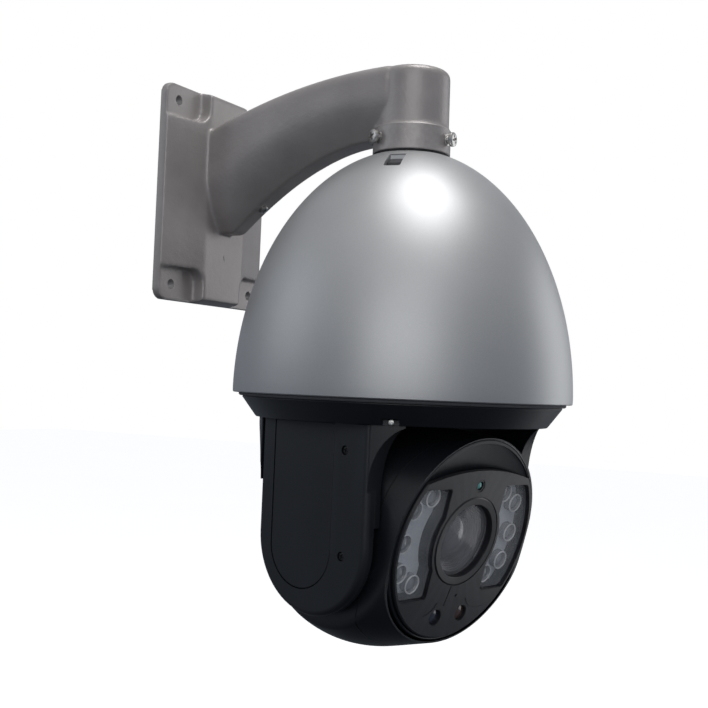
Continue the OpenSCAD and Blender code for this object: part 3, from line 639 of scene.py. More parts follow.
def cast_arm(steps=44):
    """The arched arm: one section extruded from the plate to the collar, step by step."""
    start, end = ARM_ROOT_Y - 4, REACH - 8
    piece = outline("arm", arm_section(start))
    count = len(piece.data.vertices)
    with editing(piece):
        bpy.ops.mesh.edge_face_add()
        for _ in range(steps):
            bpy.ops.mesh.extrude_region_move(TRANSFORM_OT_translate={"value": (0, -1, 0)})
    rings = {}
    for vertex in piece.data.vertices:
        rings.setdefault(round(-vertex.co.y - start), []).append(vertex)
    first = [Vector(p) for p in arm_section(start)]
    for step, ring in rings.items():
        section = arm_section(start + (end - start) * step / steps)
        for vertex in ring:
            nearest = min(range(count), key=lambda k: (first[k].x - vertex.co.x) ** 2
                          + (first[k].z - vertex.co.z) ** 2)
            vertex.co = section[nearest]
    with editing(piece):
        bpy.ops.mesh.normals_make_consistent(inside=False)
    return piece


def cast_plate():
    """The wall plate: a raised cross with four sunk corner pads."""
    depth = casing().plate_thickness
    half_w, half_h, bend = PLATE_W / 2, PLATE_H / 2, PLATE_BEND
    points = []
    for turn, x, z in ((0, 1, 1), (90, -1, 1), (180, -1, -1), (270, 1, -1)):
        points += arc(x * (half_w - bend), z * (half_h - bend), bend, turn, turn + 90, 6)
    plate = prism("plate", flat_y(points, -depth), (0, depth, 0))
    top_y = -BLOCK_DEPTH
    web = [(half_w, half_h), (-half_w, half_h), (-half_w, -half_h), (half_w, -half_h)]
    # between the pads the plate slopes from its edge up to the middle block
    rise = outline("rise", flat_y(web, -depth - 1))
    with editing(rise):
        bpy.ops.mesh.edge_face_add()
        bpy.ops.mesh.extrude_region_move(TRANSFORM_OT_translate={"value": (0, 1 - BLOCK_DEPTH + depth, 0)})
    for vertex in rise.data.vertices:
        if vertex.co.y < top_y + 0.5:
            vertex.co = (math.copysign(BLOCK_HALF, vertex.co.x), top_y, math.copysign(half_h - 2, vertex.co.z))
    with editing(rise):
        bpy.ops.mesh.normals_make_consistent(inside=False)
    combine(rise, plate, "UNION")
    edge = prism("edge_tool", flat_y(points, -BLOCK_DEPTH - 5), (0, BLOCK_DEPTH + 10, 0))
    combine(rise, edge, "INTERSECT")
    inner_z, corner = half_h - PAD_EDGE, PAD_BEND
    for x in (-1, 1):
        for z in (-1, 1):
            pocket = arc(BLOCK_HALF + corner, inner_z + corner, corner, 180, 270, 8)
            pocket += [(PLATE_W, inner_z), (PLATE_W, PLATE_H), (BLOCK_HALF, PLATE_H)]
            pocket = [(a * x, b * z) for a, b in pocket]
            cut(rise, prism("pad_tool", flat_y(pocket, -BLOCK_DEPTH - 2), (0, BLOCK_DEPTH + 2 - depth, 0)))
    return rise


def cast_collar():
    """The collar at the arm's end, with a wider clamping ring and a crowned top."""
    wide, slim = casing().collar_radius, casing().collar_radius - 1.4
    ledge = COLLAR_Z + CLAMP_HEIGHT
    profile = [(0, COLLAR_Z), (wide, COLLAR_Z), (wide, ledge - 0.6), (slim, ledge + 0.5),
               (slim - 0.3, CASTING_TOP - 5)]
    profile += arc(slim - 5.3, CASTING_TOP - 5.5, 5, 0, 90, 5) + [(0, CASTING_TOP)]
    return turned(lathe("collar", profile, 72), Matrix.Translation((0, AXIS_Y, 0)))


def clamp_axis(turn):
    """Where a clamp screw enters the collar, and which way it points."""
    way = Vector((math.cos(math.radians(turn)), math.sin(math.radians(turn)), 0))
    return Vector((0, AXIS_Y, COLLAR_Z + CLAMP_HEIGHT / 2 + 0.3)), way


def build_bracket():
    """Casts the bracket in one skin, softens it and then drills it."""
    piece = cast_plate()
    combine(piece, cast_arm(), "UNION")
    combine(piece, cast_collar(), "UNION")
    named(piece, "bracket_casting")
    modify(piece, "REMESH", mode="VOXEL", voxel_size=1.15)
    modify(piece, "SMOOTH", factor=0.5, iterations=casing().cast_fillet)
    modify(piece, "DECIMATE", decimate_type="COLLAPSE", ratio=0.62)
    # a thin step where the clamping ring is turned after casting
    ring_r, ledge = casing().collar_radius, COLLAR_Z + CLAMP_HEIGHT
    profile = [(COLLAR_BORE, COLLAR_Z), (ring_r - 0.5, COLLAR_Z), (ring_r, COLLAR_Z + 0.5),
               (ring_r, ledge - 0.9), (ring_r - 0.9, ledge + 0.2), (COLLAR_BORE, ledge + 0.2)]
    ring = lathe("clamp_ring", profile, 96)
    turned(ring, Matrix.Translation((0, AXIS_Y, 0)))
    cut(piece, rod("bore_tool", COLLAR_BORE, (0, AXIS_Y, COLLAR_Z - 2), (0, AXIS_Y, CASTING_TOP - 4), 96))
    for x in (-1, 1):
        for z in (-1, 1):
            centre = Vector((x * BOLT_X, 0, z * BOLT_Z))
            cut(piece, rod("bolt_tool", BOLT_HOLE, centre + Vector((0, 4, 0)), centre - Vector((0, 12, 0))))
    # the cable way, open at the wall
    cut(piece, rod("inlet_tool", INLET_R, (0, 2, INLET_Z), (0, -34, INLET_Z), 40))
    # a nick in the block below the arm's foot, from a V-shaped tool
    hollow = [(0, -40), (-9, -90), (9, -90)]
    tool = prism("hollow_tool", flat_y(hollow, -BLOCK_DEPTH - 8), (0, 8, 0))
    turned(tool, Matrix.Translation((0, 0, -40)) @ Matrix.Rotation(math.radians(-7), 4, "X")
           @ Matrix.Translation((0, 0.6, 40)))
    cut(piece, tool)
    for turn in CLAMP_TURNS:
        centre, way = clamp_axis(turn)
        for part in (piece, ring):
            cut(part, rod("clamp_tool", CLAMP_HOLE, centre + way * 12, centre + way * 40, 24))
    deliver(piece, BRACKET, "bracket", "cast_grey", "wall_bracket", smooth=40)
    deliver(ring, BRACKET, "bracket", "cast_grey")


def build_arm_cover(spans=36):
    """The strip under the arm that closes the cable way."""
    start, end = 44.2, REACH - casing().collar_radius + 2.8
    line = [start + (end - start) * i / spans for i in range(spans + 1)]
    low = [(-y, arm_low(y) - 0.05) for y in line]
    high = [(-y, arm_low(y) + 2.3) for y in reversed(line)]
    piece = prism("arm_cover_strip", flat_x(low + high, -COVER_HALF), (2 * COVER_HALF, 0, 0))
    round_edges(piece, 0.7, 3)
    deliver(piece, BRACKET, "bracket", "cast_grey", "arm_cover")


# ---------- screws ----------
def screw_head(radius, height, recess=0.62, crown=0.28):
    """A domed screw head on +Z with a cross recess."""
    dome = [(radius * math.cos(a), height * (1 - crown) + height * crown * math.sin(a))
            for a in (math.radians(15 * i) for i in range(1, 6))]
    side = [(0, 0), (radius * 0.96, 0), (radius, height * 0.12), (radius, height * (1 - crown))]
    profile = side + dome + [(0, height)]
    piece = lathe("screw", profile, 40)
    wing, slot = radius * recess, radius * 0.13
    for turn in (0, 90):
        tool = block("cross_tool", (-wing, -slot, height * 0.42), (wing, slot, height + 2))
        cut(piece, turned(tool, Matrix.Rotation(math.radians(turn + 20), 4, "Z")))
    cut(piece, rod("pit_tool", radius * 0.24, (0, 0, height * 0.3), (0, 0, height + 2), 16))
    return piece


def aimed(piece, place, way):
    """Turns a piece that stands on +Z so that it stands on a point along a way."""
    return turned(piece, Matrix.Translation(place) @ way.to_track_quat("Z", "Y").to_matrix().to_4x4())


def build_clamp_screws():
    """Pan-head screws round the collar, each on a washer."""
    parts = []
    for turn in CLAMP_TURNS:
        centre, way = clamp_axis(turn)
        seat = centre + way * (casing().collar_radius + CLAMP_STAND)
        washer = lathe("washer", [(CLAMP_HOLE, 0), (3.9, 0), (3.9, 0.9), (CLAMP_HOLE, 0.9)], 36)
        round_edges(washer, 0.15, 2)
        shank = rod("shank", 2.45, (0, 0, -9), (0, 0, 1), 24)
        parts += [aimed(part, seat + way * lift, way)
                  for part, lift in ((screw_head(4.6, 3.0), 0.3), (washer, -2.5), (shank, 0))]
    join(*parts)
    named(parts[0], "collar_screws")
    deliver(parts[0], BRACKET, "bracket", "steel_screw", "clamp_screws")


def build_cover_screws():
    """A screw at each end of the strip under the arm."""
    low, high = corners("arm_cover_screws")
    ends = [(max(-low.y - 3.3, 0), low.z), (-high.y + 3.3, high.z)]
    parts = []
    for y, _ in ends:
        rise = (arm_low(y + 1) - arm_low(y - 1)) / 2
        way = Vector((0, -rise, -1)).normalized()
        parts.append(aimed(screw_head(3.3, 1.9), Vector((0, -y, arm_low(y))) - way * 0.1, way))
    join(*parts)
    named(parts[0], "strip_screws")
    deliver(parts[0], BRACKET, "bracket", "steel_screw", "arm_cover_screws")


# ---------- shell and base ring ----------
POCKET_TURN = 194
POCKET_Z = 12.0
RING_TURNS = (204, 324, 84)
RING_TAPER = 9
RING_SHELF_R = 80
SEAL_BORE = 94
NECK_BORE = 20.4
CEILING_R = 38


def shell_radius(z, height, radius):
    return radius * math.sqrt(max(0.0, 1 - ((z - RIM_Z) / height) ** 2))


def build_shell():
    """The bullet-shaped sunshield, spun from a half ellipse, with a small moulded pocket near its top."""
    tall, wall, flat = casing().shell_height, casing().shell_wall, casing().shell_flat
    steps, stop = 56, math.acos(flat / SHELL_R)
    outer = [(SHELL_R * math.cos(stop * i / steps), RIM_Z + tall * math.sin(stop * i / steps))
             for i in range(1, steps + 1)]
    ceiling = RIM_Z + (tall - wall) * math.sqrt(1 - (CEILING_R / (SHELL_R - wall)) ** 2)
    inner = [(shell_radius(z, tall - wall, SHELL_R - wall), z)
             for z in (ceiling + (RIM_Z - ceiling) * i / 16 for i in range(17))]
    lip = [(SHELL_R - 2.4, RIM_Z), (SHELL_R - 0.7, RIM_Z), (SHELL_R - 0.1, RIM_Z + 0.6)]
    crown = [(flat - 0.6, SHELL_TOP), (NECK_BORE, SHELL_TOP), (NECK_BORE, ceiling), (CEILING_R, ceiling)]
    profile = outer + crown + inner[1:] + lip
    piece = lathe("sunshield", profile, 160)
    radius = shell_radius(POCKET_Z, tall, SHELL_R)
    tool = block("pocket_tool", (radius - 10, -5.3, POCKET_Z - 5.2), (radius + 16, 5.3, POCKET_Z + 5.8))
    round_edges(tool, 1.2, 4)
    turned(tool, Matrix.Rotation(math.radians(POCKET_TURN), 4, "Z"))
    cut(piece, tool)
    deliver(piece, PAN_AXIS, "bracket", "silver_paint", "shell", smooth=35)


def build_shell_plug():
    """The insert that fills the bottom of the shell's pocket."""
    tall = casing().shell_height
    radius = shell_radius(POCKET_Z, tall, SHELL_R)
    piece = block("pocket_plug", (radius - 9.5, -5.2, POCKET_Z - 5.1), (radius - 2.5, 5.2, POCKET_Z + 5.7))
    skin = [(SHELL_R - 2.4, 0), (0, 0), (0, tall - 2.4)]
    slope = [(shell_radius(z, tall - 2.4, SHELL_R - 2.4), z - RIM_Z)
             for z in (RIM_Z + (tall - 2.4) * i / 24 for i in range(1, 24))]
    body = lathe("plug_tool", [(r, z + RIM_Z) for r, z in skin + slope[::-1]], 64)
    turned(piece, Matrix.Rotation(math.radians(POCKET_TURN), 4, "Z"))
    combine(piece, body, "INTERSECT")
    round_edges(piece, 0.5, 3)
    deliver(piece, PAN_AXIS, "bracket", "dark_plastic", "shell_plug")


def build_base_ring():
    """The tapered black ring under the shell, with a notch at each screw, and its seal above."""
    high_r = node_radius("base_ring")
    low_r = high_r - RING_TAPER
    lip = low_r - 2.3
    profile = [(lip, RING_Z + 0.4), (lip + 0.4, RING_Z), (low_r - 0.6, RING_Z), (low_r, RING_Z + 0.6),
               (high_r - 0.4, SEAL_Z - 0.9), (high_r - 0.6, SEAL_Z), (RING_SHELF_R, SEAL_Z),
               (RING_SHELF_R, RING_Z + 5.5), (lip, RING_Z + 5.5)]
    piece = lathe("black_ring", profile, 160)
    screws = []
    for turn in RING_TURNS:
        spin = Matrix.Rotation(math.radians(turn), 4, "Z")
        tool = block("notch_tool", (low_r - 2.1, -5.3, RING_Z - 2), (low_r + 20, 5.3, RING_Z + 3.9))
        round_edges(tool, 1.0, 3)
        cut(piece, turned(tool, spin))
        screw = aimed(screw_head(1.8, 1.3), Vector((low_r - 1.9, 0, RING_Z + 1.9)), Vector((1, 0, 0)))
        screws.append(turned(screw, spin))
    join(*screws)
    named(screws[0], "ring_screw_heads")
    deliver(piece, PAN_AXIS, "bracket", "black_plastic", "base_ring")
    deliver(screws[0], PAN_AXIS, "bracket", "steel_screw", "ring_screws")
    seal_r = node_radius("rim_seal")
    profile = [(SEAL_BORE, SEAL_Z), (seal_r - 0.8, SEAL_Z), (seal_r, SEAL_Z + 0.7), (seal_r, RIM_Z - 0.4),
               (seal_r - 0.4, RIM_Z), (SEAL_BORE, RIM_Z)]
    seal = lathe("rim_gasket", profile, 160)
    deliver(seal, PAN_AXIS, "bracket", "grey_rubber", "rim_seal")


# ---------- yoke ----------
FLARE = 23.0
TRAY = 5.0
PANEL_R = 26.0
PANEL_Y = 8.0
PANEL_Z = -5.0
SCREW_Y = -27.0
SCREW_ZS = (55.0, -7.0)
TURN_R = 92.2
DISC_THICK = 5
DOME_R = 100
DOME_WALL = 3


def flare_curve(radius, top, flare):
    """The hollow curve where an arm widens towards the disc, taller than it is wide."""
    turns = [math.radians(7 * i) for i in range(13)]
    return [(-radius - flare + flare * math.cos(a), top - flare * 1.7 * (1 - math.sin(a))) for a in turns]


def arm_side(radius, top, flare=0.0):
    """An arm's outline from the side: a round end and upright edges, with flares at the top."""
    points = arc(0, 0, radius, 0, -180, 40)
    if flare:
        left = flare_curve(radius, top, flare)
        points += left + [(-y, z) for y, z in reversed(left)]
        return points
    return points + [(-radius, top), (radius, top)]


def build_turning_disc():
    """The disc and the dome that carry the arms, hollow for the head."""
    big = DOME_R + DOME_WALL
    low, high = math.asin(DISC_Z / DOME_R), math.asin((DISC_Z + DISC_THICK) / big)
    inner = [(DOME_R * math.cos(a), DOME_R * math.sin(a))
             for a in (low + (math.pi / 2 - low) * i / 20 for i in range(21))]
    outer = [(big * math.cos(a), big * math.sin(a))
             for a in (math.pi / 2 - (math.pi / 2 - high) * i / 20 for i in range(21))]
    profile = inner + outer + [(TURN_R, DISC_Z + DISC_THICK), (TURN_R, DISC_Z + 0.4), (TURN_R - 0.4, DISC_Z)]
    piece = lathe("turning_disc", profile, 128)
    hub = lathe("hub", [(14, 101), (30, 100), (30, 108), (14, 108)], 48)
    join(piece, hub)
    plate = block("motor_plate", (-70, -24, 70), (-67, 24, 134))
    round_edges(plate, 0.8, 2)
    cut(plate, rod("pilot_tool", 11.2, (-80, 0, 114), (-60, 0, 114)))
    join(piece, plate)
    deliver(piece, YOKE, "yoke", "black_plastic", "yoke_frame")


def arm_tray():
    """The inner half of an arm with the flares that run out to the disc."""
    inner, outer = head().arm_inner, head().arm_outer
    points = arm_side(head().arm_end, DISC_Z + 0.2, FLARE)
    piece = prism("tray", flat_x(points, inner), (TRAY, 0, 0))
    round_edges(piece, 1.2, 3, 40)
    cut(piece, rod("bearing_tool", 12.05, (inner - 2, 0, 0), (inner + 9, 0, 0)))
    # the flares are as deep as the whole arm, the tray between them is not
    wings = []
    for side in (-1, 1):
        edge = head().arm_end - 0.05
        wing = [(y * -side, z) for y, z in flare_curve(edge, DISC_Z, FLARE)] + [(edge * side, DISC_Z + 0.2)]
        wing = prism("flare", flat_x(wing, inner + TRAY - 0.5), (outer - inner - TRAY + 0.5, 0, 0))
        round_edges(wing, 2.2, 4, 40)
        wings.append(wing)
    for wing in wings:
        combine(piece, wing, "UNION")
    edge, low, high = TURN_R - 0.3, DISC_Z - 60, DISC_Z + 1
    combine(piece, lathe("rim_tool", [(edge, low), (edge, high), (0, high), (0, low)], 128), "INTERSECT")
    return piece


def arm_cover_shape():
    """The outer half of an arm: a tray with a well-rounded edge, a U-shaped window and two screw wells."""
    inner, outer, end, soft = head().arm_inner + TRAY, head().arm_outer, head().arm_end, 3.6
    top = DISC_Z - 0.5
    piece = prism("cover", flat_x(arm_side(end, top), inner), (outer - inner, 0, 0))
    bevel_edges(piece, lambda a, b: min(a.x, b.x) > outer - 0.01 and min(a.z, b.z) < top - 0.01, soft, 8, True)
    window = arc(PANEL_Y, PANEL_Z, PANEL_R, 0, -180, 36)
    window += [(PANEL_Y - PANEL_R, top + 4), (PANEL_Y + PANEL_R, top + 4)]
    cut(piece, prism("window_tool", flat_x(window, outer - 2.5), (6, 0, 0)))
    for z in SCREW_ZS:
        cut(piece, rod("well_tool", 2.8, (outer - 1.8, SCREW_Y, z), (outer + 3, SCREW_Y, z), 32))
    return piece


def arm_panel_shape():
    """The U-shaped panel that lies in an arm cover's window behind a fine groove."""
    outer, gap, top = head().arm_outer, 0.45, DISC_Z - 0.5
    points = arc(PANEL_Y, PANEL_Z, PANEL_R - gap, 0, -180, 36)
    points += [(PANEL_Y - PANEL_R + gap, top), (PANEL_Y + PANEL_R - gap, top)]
    piece = prism("panel", flat_x(points, outer - 2.45), (2.3, 0, 0))
    round_edges(piece, 0.55, 3, 50)
    return piece


def build_arms():
    """Both arms of the yoke: tray, cover, panel and screws."""
    outer = head().arm_outer
    for name, flip in SIDES.items():
        place = YOKE @ flip
        for shape, part, nodes in ((arm_tray(), "arm_tray", ()),
                                   (arm_cover_shape(), "arm_shell", (f"{name}_arm_cover",)),
                                   (arm_panel_shape(), "arm_side_panel", (f"{name}_panel",))):
            named(shape, f"{name}_{part}")
            deliver(shape, place, "yoke", "black_plastic", *nodes)
    screws = []
    for flip in SIDES.values():
        for z in SCREW_ZS:
            screw = aimed(screw_head(2.5, 1.1), Vector((outer - 1.75, SCREW_Y, z)), Vector((1, 0, 0)))
            screws.append(turned(screw, flip))
    join(*screws)
    named(screws[0], "arm_screw_heads")
    deliver(screws[0], YOKE, "yoke", "black_screw", "arm_screws")


# ---------- head ----------
SPLIT_Y = -38.0
SPLIT_GAP = 0.8
SKIN = 2.5
PANEL_FRONT = 56.0
PANEL_THICK = 3.0
BROW_RISE = 46.0
BROW_DROP = 7.0


def ball_outline(taken=0.0):
    """Half outline of the ball across the tilt axis, as (radius, place along the axis)."""
    half = head().arm_inner - 1.5 - taken
    middle, side = head().ball_radius - taken, head().ball_radius * 0.75 - taken
    n = 20
    return [(middle - (middle - side) * abs(i / n) ** 2.6, half * i / n) for i in range(-n, n + 1)]


def head_solid(name, taken=0.0, reach=0.0):
    """The ball, cut flat at the front and drawn out to the round rim."""
    front = -head().rim_reach - reach
    profile = [(0, ball_outline(taken)[0][1])] + ball_outline(taken) + [(0, ball_outline(taken)[-1][1])]
    piece = lathe(name, profile, 96, axis=(1, 0, 0))
    with editing(piece):
        bpy.ops.mesh.bisect(plane_co=(0, front, 0), plane_no=(0, -1, 0), clear_outer=True)
    radius = head().face_radius - taken
    rim = rod("rim_edge", radius, (0, front, LENS_RISE), (0, front + 4, LENS_RISE), 128)
    join(piece, rim)
    with editing(piece):
        bpy.ops.mesh.convex_hull(join_triangles=False)
        bpy.ops.mesh.select_all(action="SELECT")
        bpy.ops.mesh.normals_make_consistent(inside=False)
    return piece


def head_skin():
    """The head's outer skin, evened out into small faces and hollowed."""
    piece = head_solid("skin", 0.0, 3.0)
    modify(piece, "REMESH", mode="VOXEL", voxel_size=1.6)
    modify(piece, "SMOOTH", factor=0.5, iterations=10)
    modify(piece, "DECIMATE", decimate_type="COLLAPSE", ratio=0.7)
    cut(piece, head_solid("hollow_tool", SKIN + 0.6, 8.0))
    return piece


def keep_between(piece, low, high):
    """Cuts a piece with two planes across Y and closes it."""
    tool = block("keep_tool", (-120, low, -120), (120, high, 140))
    combine(piece, tool, "INTERSECT")


def build_head_shell():
    """The rear shell and the front frame of the head, parted by a fine seam."""
    skin = head_skin()
    front = copy_of(skin, "head_front")
    rear = skin
    named(rear, "head_rear")
    keep_between(rear, SPLIT_Y, 120)
    keep_between(front, -head().rim_reach - 0.02, SPLIT_Y - SPLIT_GAP)
    for side in (-1, 1):
        cut(rear, rod("shaft_tool", 7.7, (side * 50, 0, 0), (side * 80, 0, 0), 48))
    deliver(rear, HEAD, "head", "black_plastic", "head_rear_shell", smooth=40)
    deliver(front, HEAD, "head", "black_plastic", "head_front_frame", smooth=40)


def build_bezel():
    """The rounded rim round the face and the sloping brow above the panel."""
    edge = head().face_radius
    front = -head().rim_reach
    inner = edge - 2.6
    profile = [(inner, front + 6), (inner, front + 0.9), (inner + 0.5, front + 0.1), (inner + 1.3, front - 0.3),
               (inner + 2.0, front + 0.1), (edge - 0.15, front + 0.9), (edge - 0.2, front + 6)]
    rim = lathe("face_rim", profile, 160, axis=(0, 1, 0))
    slope = [(inner + 0.4, front + 0.8), (inner - 3, front + 1.7), (inner - 12, front + 3.1),
             (inner - 20, front + 4.3), (34, front + 5.0), (34, front + 7), (inner + 0.4, front + 4)]
    brow = lathe("brow", slope, 160, axis=(0, 1, 0))
    tool = block("brow_tool", (-100, -100, 36.5), (100, 100, 100))
    combine(brow, tool, "INTERSECT")
    for piece in (rim, brow):
        deliver(piece, FACE, "head", "black_plastic", smooth=40)


def brow_line(grow=0.0, steps=20, half=70.0):
    """The panel's curved top edge, from right to left."""
    xs = [half - 2 * half * i / steps for i in range(steps + 1)]
    return [(x, BROW_RISE + grow - BROW_DROP * (x / 50) ** 2) for x in xs]


def window_points(grow=0.0):
    """A LED window: a slice of the face beside the lens, with softened corners."""
    outer, inner = head().face_radius - 5.4 + grow, head().glass_radius + 8.2 - grow
    side, half = 27 - grow, 35 + grow
    top = math.degrees(math.asin(half / outer))
    points = arc(0, 0, outer, -top, top, 20)
    near = math.degrees(math.acos(side / inner))
    points += [(side, half)] + arc(0, 0, inner, near, -near, 16) + [(side, -half)]
    return points


def window_prism(name, grow, y, depth):
    """A window's shape on the +X side, from y backwards, with its four corners rounded."""
    points = window_points(grow)
    piece = prism(name, flat_y(points, y), (0, depth, 0))
    places = [points[0], points[20], points[21], points[-1]]

    def at_corner(a, b):
        upright = abs(a.x - b.x) < 0.01 and abs(a.z - b.z) < 0.01
        return upright and any(math.hypot(a.x - x, a.z - z) < 0.3 for x, z in places)

    bevel_edges(piece, at_corner, 2.2, 5)
    return piece


BARREL_R = 22
BARREL_BORE = 17.9
EYE_X = 12.6
EYE_Z = -49.0
EYE_R = 5.0
SENSOR_Z = 36.0


def build_face_panel():
    """The panel round the lens; its windows, sensor and lower eyes are cut through it with a fine lip."""
    radius, front = head().face_radius - 2.7, -PANEL_FRONT
    panel = lathe("face_panel_plate", [(0, front), (radius - 0.8, front), (radius, front + 0.8),
                                       (radius, front + PANEL_THICK), (0, front + PANEL_THICK)],
                  160, axis=(0, 1, 0))
    below = brow_line(0) + [(-90, -90), (90, -90)]
    combine(panel, prism("brow_tool", flat_y(below, front - 5), (0, 12, 0)), "INTERSECT")
    lens_r = head().glass_radius + 5.25
    rounds = [(0, 0, lens_r), (0, SENSOR_Z, 3.6), (-EYE_X, EYE_Z, EYE_R), (EYE_X, EYE_Z, EYE_R)]
    for grow, low, high in ((0, front - 4, front + 8), (0.45, front - 4, front + 0.4)):
        for flip in SIDES.values():
            cut(panel, turned(window_prism("window_tool", grow, low, high - low), flip))
        for x, z, r in rounds:
            cut(panel, rod("round_tool", r + grow, (x, low, z), (x, high, z), 96))
    # a short moulded line and a dimple below the lens
    line = block("line_tool", (-0.35, front - 2, -6.7), (0.35, front + 0.4, 6.7))
    turned(line, Matrix.Translation((-5.5, 0, -35.5)) @ Matrix.Rotation(math.radians(13), 4, "Y"))
    cut(panel, line, rod("dimple_tool", 0.9, (3, front - 2, -36), (3, front + 0.5, -36), 16))
    deliver(panel, FACE, "head", "black_gloss", "face_panel")


def chin_ridge(name, points):
    """A fine raised line on the panel, as a thin prism along some points."""
    offset = [(x, z + 0.5) for x, z in reversed(points)]
    return prism(name, flat_y(points + offset, -PANEL_FRONT - 0.25), (0, 0.5, 0))


def build_chin_ridges():
    """The two faint curved steps beside the lower eyes."""
    right = chin_ridge("chin_ridges", arc(26, -34, 13, 205, 262, 12) + arc(33, -61, 14, 98, 62, 6))
    left = chin_ridge("left_ridge", [(-x, z) for x, z in reversed(arc(26, -34, 13, 205, 262, 12))])
    join(right, left)
    deliver(right, FACE, "head", "black_gloss")


def build_lens():
    """The flush ring round the front glass, the glass and the stepped barrel behind it."""
    glass_r, front = head().glass_radius, -PANEL_FRONT
    outer = glass_r + 5.05
    profile = [(glass_r + 0.15, front + 4.9), (glass_r + 0.15, front + 0.3), (glass_r + 0.5, front - 0.1),
               (outer - 0.7, front - 0.3), (outer, front + 0.3), (outer, front + 4.9)]
    ring = lathe("lens_bezel", profile, 128, axis=(0, 1, 0))
    deliver(ring, FACE, "head", "black_gloss", "lens_ring")
    bow = 1.2
    reach = [glass_r * i / 16 for i in range(17)]
    outside = [(r, front + 4.2 - bow * (1 - (r / glass_r) ** 2)) for r in reach]
    back = [(r, front + 5.0 - bow * 0.5 * (1 - (r / glass_r) ** 2)) for r in reversed(reach)]
    glass = lathe("front_lens", outside + back, 96, axis=(0, 1, 0))
    deliver(glass, FACE, "head", "lens_glass", "front_glass")
    r, y = BARREL_R - 0.1, front + 5.3
    flight = []
    while r > BARREL_BORE:
        flight += [(r, y), (r - 0.55, y + 0.15), (r - 0.8, y + 1.2)]
        r, y = r - 0.8, y + 1.35
    tube = [(BARREL_BORE, front + 14), (BARREL_BORE, -8), (BARREL_R, -8), (BARREL_R, front + 5.3)]
    barrel = lathe("barrel_steps", flight + tube, 96, axis=(0, 1, 0))
    deliver(barrel, FACE, "head", "dark_plastic", "lens_barrel", paint="lens_steps")


def build_inner_lens():
    """The domed front element of the lens group."""
    front, bend, width = -PANEL_FRONT, 24.0, 17.7
    stop = math.asin(width / bend)
    top = front + 6.8
    dome = [(bend * math.sin(stop * i / 20), top + bend * (1 - math.cos(stop * i / 20))) for i in range(21)]
    inner = lathe("inner_lens", dome + [(width, front + 16.2), (0, front + 16.2)], 128, axis=(0, 1, 0))
    deliver(inner, FACE, "zoom_group", "lens_glass", "zoom_group", paint="inner_lens")


def build_led_windows():
    """The clear window over each bank of lamps."""
    for name, flip in SIDES.items():
        piece = window_prism(f"{name}_lamp_window", -0.25, -PANEL_FRONT + 2.5, 2)
        deliver(piece, FACE @ flip, "head", "clear_window", f"{name}_led_window")


LAMPS = ((36, 28), (49.5, 20.5), (52, 0), (49.5, -19), (36, -27))
LAMP_R = 6.2


def build_led_lenses():
    """Five lamps on each side: a domed lens with a bright ring round its edge and a small die inside."""
    back = -PANEL_FRONT + 10
    for name, flip in SIDES.items():
        flanges, domes = [], []
        for x, z in LAMPS:
            place = Matrix.Translation((x, 0, z))
            profile = [(LAMP_R - 0.8, back - 4.3), (LAMP_R - 0.7, back - 4.9), (LAMP_R - 0.15, back - 4.9),
                       (LAMP_R, back - 4.7), (LAMP_R, back - 4.3)]
            flange = lathe("flange", profile, 40, axis=(0, 1, 0))
            die = block("die", (-0.8, back - 4.0, -0.8), (0.8, back - 3.6, 0.8))
            round_edges(die, 0.1, 1)
            flanges += [turned(flange, place), turned(die, place)]
            curve = [(4.9 * math.sin(math.radians(a)), back - 1.2 - 2.9 * math.cos(math.radians(a)))
                     for a in range(0, 91, 10)]
            rim = [(4.9, back - 3.4), (5.6, back - 4.35), (LAMP_R - 0.1, back - 4.35), (LAMP_R - 0.1, back),
                   (0, back)]
            dome = lathe("dome", curve + rim, 32, axis=(0, 1, 0))
            domes.append(turned(dome, place))
        join(*flanges)
        join(*domes)
        named(flanges[0], f"{name}_lamp_flanges")
        named(domes[0], f"{name}_lamp_domes")
        deliver(flanges[0], FACE @ flip, "head", "led_clear", paint="lamp_flange")
        deliver(domes[0], FACE @ flip, "head", "led_clear", f"{name}_led_lenses")


def build_small_optics():
    """The light sensor above the lens and the two tinted eyes below it."""
    front = -PANEL_FRONT
    cup = lathe("sensor_cup", [(2.6, front + 2.9), (2.6, front + 0.8), (2.9, front + 0.3), (3.5, front + 0.3),
                               (3.5, front + 2.9)], 48, axis=(0, 1, 0))
    turns = [math.radians(a) for a in range(0, 91, 15)]
    curve = [(2.55 * math.sin(a), front + 2.0 - 1.5 * math.cos(a)) for a in turns]
    bead = lathe("sensor_bead", curve + [(2.55, front + 2.8), (0, front + 2.8)], 40, axis=(0, 1, 0))
    up = FACE @ Matrix.Translation((0, 0, SENSOR_Z))
    deliver(cup, up, "head", "black_gloss")
    deliver(bead, up, "head", "sensor_teal", "light_sensor")
    for x, name in ((-1, "left_eye"), (1, "right_eye")):
        radius = EYE_R - 0.15
        curve = [(radius * i / 10, front + 2.1 - 0.5 * (1 - (i / 10) ** 2)) for i in range(11)]
        piece = lathe(name, curve + [(radius, front + 2.9), (0, front + 2.9)], 48, axis=(0, 1, 0))
        nodes = ("lower_windows",) if name == "left_eye" else ()
        place = FACE @ Matrix.Translation((x * EYE_X, 0, EYE_Z))
        deliver(piece, place, "head", "smoked_window", *nodes, paint=name)


# ---------- stage ----------
VIEW_BEARING = -62.742
VIEW_DISTANCE = 0.7231
VIEW_RISE = 0.00699
VIEW_TURN = (-60.186, 1.634, 2.367)
VIEW_LENS = 56.12
FLOOR_DROP = 0.35
